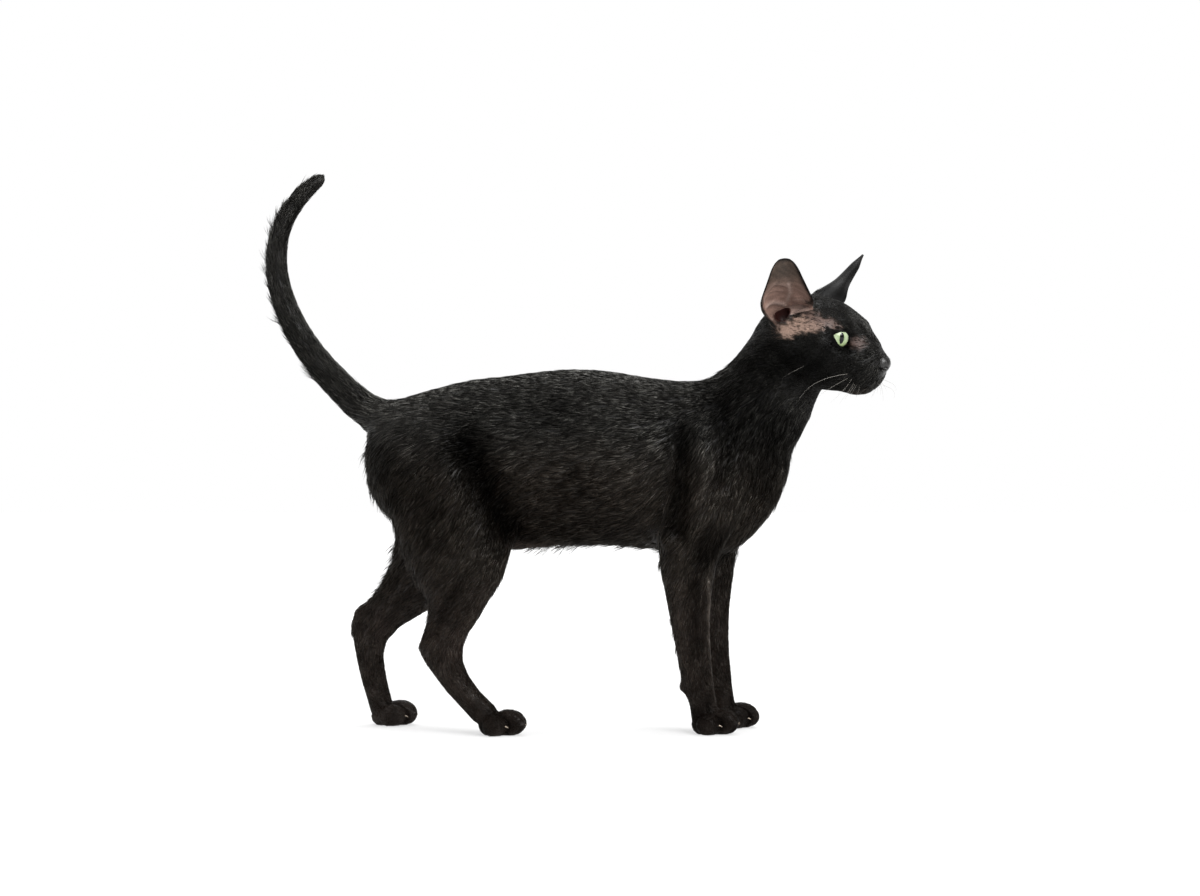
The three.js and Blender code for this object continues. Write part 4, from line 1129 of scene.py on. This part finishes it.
# The way the hair lies at each place, along the skin that faces as n says.
def lieAt(co, n):
    x, y, z = (co / mm).T
    total = np.zeros_like(co)
    for px, pz, dx, dz in lie:
        weight = np.exp(-((x - px) ** 2 + (z - pz) ** 2) / (2 * 17.0**2)) + 1e-7 / (1 + (x - px) ** 2 + (z - pz) ** 2)
        total += weight[:, None] * (dx, 0, dz)
    local = inFrame(headMatrix, co)
    flow = np.stack([-np.ones(len(co)), 0.012 * local[:, 1], 0.1 - 0.008 * (30 - local[:, 2])], 1)
    onHead = (1 - smoothStep(0.85, 1.15, headDistance(co)))[:, None]
    direction = unit(total) * (1 - onHead) + unit(turnTo(headMatrix, flow)) * onHead
    onEar = earShare(co)[:, None]
    left = (local[:, 1] > 0)[:, None]
    upEar = np.where(left, turnTo(earMatrix("left"), [0, 0, 1]), turnTo(earMatrix("right"), [0, 0, 1]))
    direction = direction * (1 - onEar) + upEar * onEar
    direction = unit(direction - n * (direction * n).sum(1, keepdims=True))
    # Locks of hair swing a little to either side together.
    locks = (np.sin(x * 0.21 + z * 0.16 + np.sin(z * 0.17)) + np.sin(z * 0.33 - x * 0.19 + y * 0.3)
             + 0.5 * np.sin(x * 0.8 + z * 0.55 + y * 0.4) + 0.4 * np.sin(z * 1.05 - x * 0.5))
    return turnAlong(direction, n, coatSettings["swing"] * locks * (1 - 0.7 * onTail(co)))


# How long the hair is: 0 on the face, the ears and the feet, 1 on the trunk and the tail.
def hairShare(co):
    x, y, z = (co / mm).T
    leg = smoothStep(20, 60, z) * 0.42 + 0.58 * smoothStep(95, 165, z)
    head = smoothStep(0.8, 1.4, headDistance(co))
    local = inFrame(headMatrix, co)
    return leg * np.maximum(head, 0.45 * smoothStep(10, -25, local[:, 0]) * (head < 1)) * (1 - 0.4 * onTail(co))


# How long and how wide a tuft is where the hair has a share of its full length.
def tuftSize(share):
    return [face + (body - face) * share for face, body in zip(coatSettings["face"], coatSettings["body"])]


# Values in triangles, from those at their corners and the shares of the second and the third.
def within(corners, a, b):
    return corners[:, 0] * (1 - a - b) + corners[:, 1] * a + corners[:, 2] * b


# The places of points near the skin on a map for baking, an unwrap of the skin's own plainer shape.
def bakePlaces(skin, root):
    plain = addObject("plain", skin.data.copy())
    modify(plain, "DECIMATE", ratio=6000 / len(plain.data.polygons))
    editAll(plain, bpy.ops.uv.smart_project, angle_limit=math.radians(60), island_margin=0.004)
    tris, co = triangles(plain), points(plain)
    corners = read(plain.data.loop_triangles, "loops", 3, np.int32)
    uv = read(plain.data.uv_layers.active.data, "uv", 2)[corners]
    bpy.data.objects.remove(plain)
    tree = BVHTree.FromPolygons(co.tolist(), tris.tolist())
    found = [tree.find_nearest(p) for p in map(Vector, root)]
    face, spot = np.array([f[2] for f in found]), np.array([f[0] for f in found])
    p0, p1, p2 = co[tris[face]].transpose(1, 0, 2)
    whole = np.maximum(np.linalg.norm(np.cross(p1 - p0, p2 - p0), axis=1), 1e-12)
    a = np.linalg.norm(np.cross(spot - p0, p2 - p0), axis=1) / whole
    b = np.linalg.norm(np.cross(p1 - p0, spot - p0), axis=1) / whole
    return within(uv[face], a[:, None], b[:, None])


def makeCoat(skin, material):
    s = coatSettings
    co, tris, n = points(skin), triangles(skin), normals(skin)
    tree = BVHTree.FromPolygons(co.tolist(), tris.tolist())
    corner = co[tris]
    area = np.linalg.norm(np.cross(corner[:, 1] - corner[:, 0], corner[:, 2] - corner[:, 0]), axis=1) / 2
    middle = corner.mean(1)
    share = hairShare(middle)
    _, bare = tintAt(middle)
    # Nothing grows inside the ears, in the eye sockets or under the paws, and little on the temples.
    grows = np.where(bare > 0.9, 0, 1 - 0.8 * smoothStep(0.2, 0.6, bare))
    grows = grows * (1 - smoothStep(0.55, 0.95, earShare(middle)))
    for side in sides:
        place = lidPlace(side, middle)
        x, y, z = place.T
        grows *= ~((x > -3) & (lidRing(place, *eyeSettings["bare"]) < 1.12) & (x < 16))
        grows *= ~((x > 0) & (lineDistance(y, z, innerCorner) < 2))
    grows *= ~(np.linalg.norm((headPlace(middle) - noseSettings["at"]) / noseSettings["bare"], axis=1) < 1)
    grows *= middle[:, 2] > 1.2 * mm
    length, width = tuftSize(share)
    chance = area * grows * (1.5 + 1.9 * share) / (length * width)
    chance /= chance.sum()
    pick = np.sort(random.choice(len(tris), s["tufts"], p=chance))
    pick = pick[np.argsort(middle[pick, 0], kind="stable")]
    a, b = random.random((2, len(pick), 1))
    a, b = np.where(a + b > 1, 1 - a, a), np.where(a + b > 1, 1 - b, b)
    root, facing = within(co[tris[pick]], a, b), unit(within(n[tris[pick]], a, b))

    share, onEar = hairShare(root), earShare(root)
    length, width = tuftSize(share)
    length = length * (random.uniform(*s["lengthSpread"], len(root)) * (1 - 0.25 * onEar))
    width = width * random.uniform(*s["widthSpread"], len(root))
    direction = turnAlong(lieAt(root, facing), facing, random.normal(0, s["turnSpread"], len(root)))
    lift = s["lift"] * (0.3 + 0.7 * share) * (1 - 0.75 * onEar) * random.uniform(*s["liftSpread"], len(root))
    x, z = root[:, 0] / mm, root[:, 2] / mm
    lift += share * 0.45 * (1 + np.sin(x * 0.62 + z * 0.9) * np.sin(z * 0.75 - x * 0.35))
    # Single hairs stand out, most of them together in small points.
    stray = random.random(len(root)) ** 2.4 * (0.5 + 1.1 * np.maximum(np.sin(x * 0.5 + z * 0.62), 0) ** 1.5)
    for px, pz, reach, fx, fz, extra in loose:
        near = np.exp(-((x - px) ** 2 + (z - pz) ** 2) / (reach * 0.6) ** 2)
        faces = smoothStep(0.25, 0.9, facing[:, 0] * fx + facing[:, 2] * fz)
        lift += near * faces * extra * stray * s["fringe"]
    laid = []
    for part, height in ((0.5, 0.55), (1.0, 1.0)):
        wanted = root + direction * (length * part)[:, None] * mm
        found = [tree.find_nearest(p)[:2] for p in map(Vector, wanted)]
        place, away = (np.array([f[k] for f in found]) for k in (0, 1))
        away = unit(away + facing)
        laid.append(place + away * (lift * height + 0.08)[:, None] * mm)
    across = unit(np.cross(unit(laid[1] - root), facing)) * (width / 2)[:, None] * mm
    thick = facing * (width * s["thick"])[:, None] * mm
    sunk = root - facing * s["sunk"] * mm
    co = np.stack([sunk - across * 0.7, sunk + across * 0.7, sunk + thick,
                   laid[0] - across, laid[0] + across, laid[0] + thick, laid[1]], 1)
    pattern = np.array([(0, 3, 5), (0, 5, 2), (2, 5, 4), (2, 4, 1), (1, 4, 3), (1, 3, 0), (3, 6, 5), (5, 6, 4),
                        (4, 6, 3), (0, 2, 1)])
    # Each tuft is a small patch at its root's place on the map.
    rootUv = bakePlaces(skin, root)
    offset = np.array([(-0.5, -0.5), (0.5, -0.5), (0, -0.5), (-0.4, 0), (0.4, 0), (0, 0.05), (0, 0.5)]) * s["patch"]

    # The few hairs on the temples are dark.
    colour, bare = tintAt(root)
    colour = mixIn(colour, "coat", smoothStep(0.1, 0.5, bare) * 0.5)
    # The coat is evener on the face, the feet and the tail.
    uneven = s["shade"] * (0.35 + 0.65 * share) * (1 - 0.45 * onTail(root))
    # Each tuft's colour and gloss also carry the painted light and shade of toneAt.
    shade = np.exp(random.normal(-0.1, 1, len(root)) * uneven) * toneAt(root)
    # A tuft's seven points, dark at its root, painted shade where the hairs cover each other, and lightest at its tip.
    along = np.array([0.3, 0.3, 0.4, 1, 1, 1, 1.3])
    gloss = shade[:, None] * along
    colour = (colour * shade[:, None])[:, None] * along[:, None]
    cut = np.linspace(0, len(root), s["pieces"] + 1).astype(int)
    for k, (start, end) in enumerate(zip(cut, cut[1:])):
        faces = (np.arange(end - start)[:, None, None] * len(along) + pattern).reshape(-1, 3)
        piece = meshPiece(f"coat_{k + 1}", co[start:end].reshape(-1, 3), faces)
        setTint(piece, colour[start:end].reshape(-1, 3), gloss[start:end].ravel())
        layer = piece.data.uv_layers.new(name="OFBake")
        tuftUv = (rootUv[start:end, None] + offset)[:, pattern.ravel()]
        write(layer.data, "uv", np.clip(tuftUv, 0, 1))
        finishPiece(piece, material, "coat")
    print("coat", len(root), "tufts")
    return tree


setStage()
print("stage set")
skin, flesh = makeSkin()
colour, bare = tintAt(points(skin))
# The skin carries the same painted light and shade as the coat, except where it is bare.
tone = toneAt(points(skin)) ** (1 - np.clip(bare * 1.4, 0, 1))
setTint(skin, colour * tone[:, None], tone)
finishPiece(skin, skinMaterial(), "coat", *[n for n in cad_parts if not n.startswith(("eye", "nose"))])
print("skin finished")
wetEye = eyeMaterial()
for side in sides:
    makeEye(side, wetEye)
makeNose(flesh, noseMaterial())
print("eyes and nose made")
skinTree = makeCoat(skin, coatMaterial())
makeClaws(keratinMaterial("Pale claw horn", "#9a8c7c", 0.35))
makeWhiskers(keratinMaterial("Stiff grey whisker", "#76726c", 0.4), skinTree)
print("coat, claws and whiskers made")

bpy.context.view_layer.update()
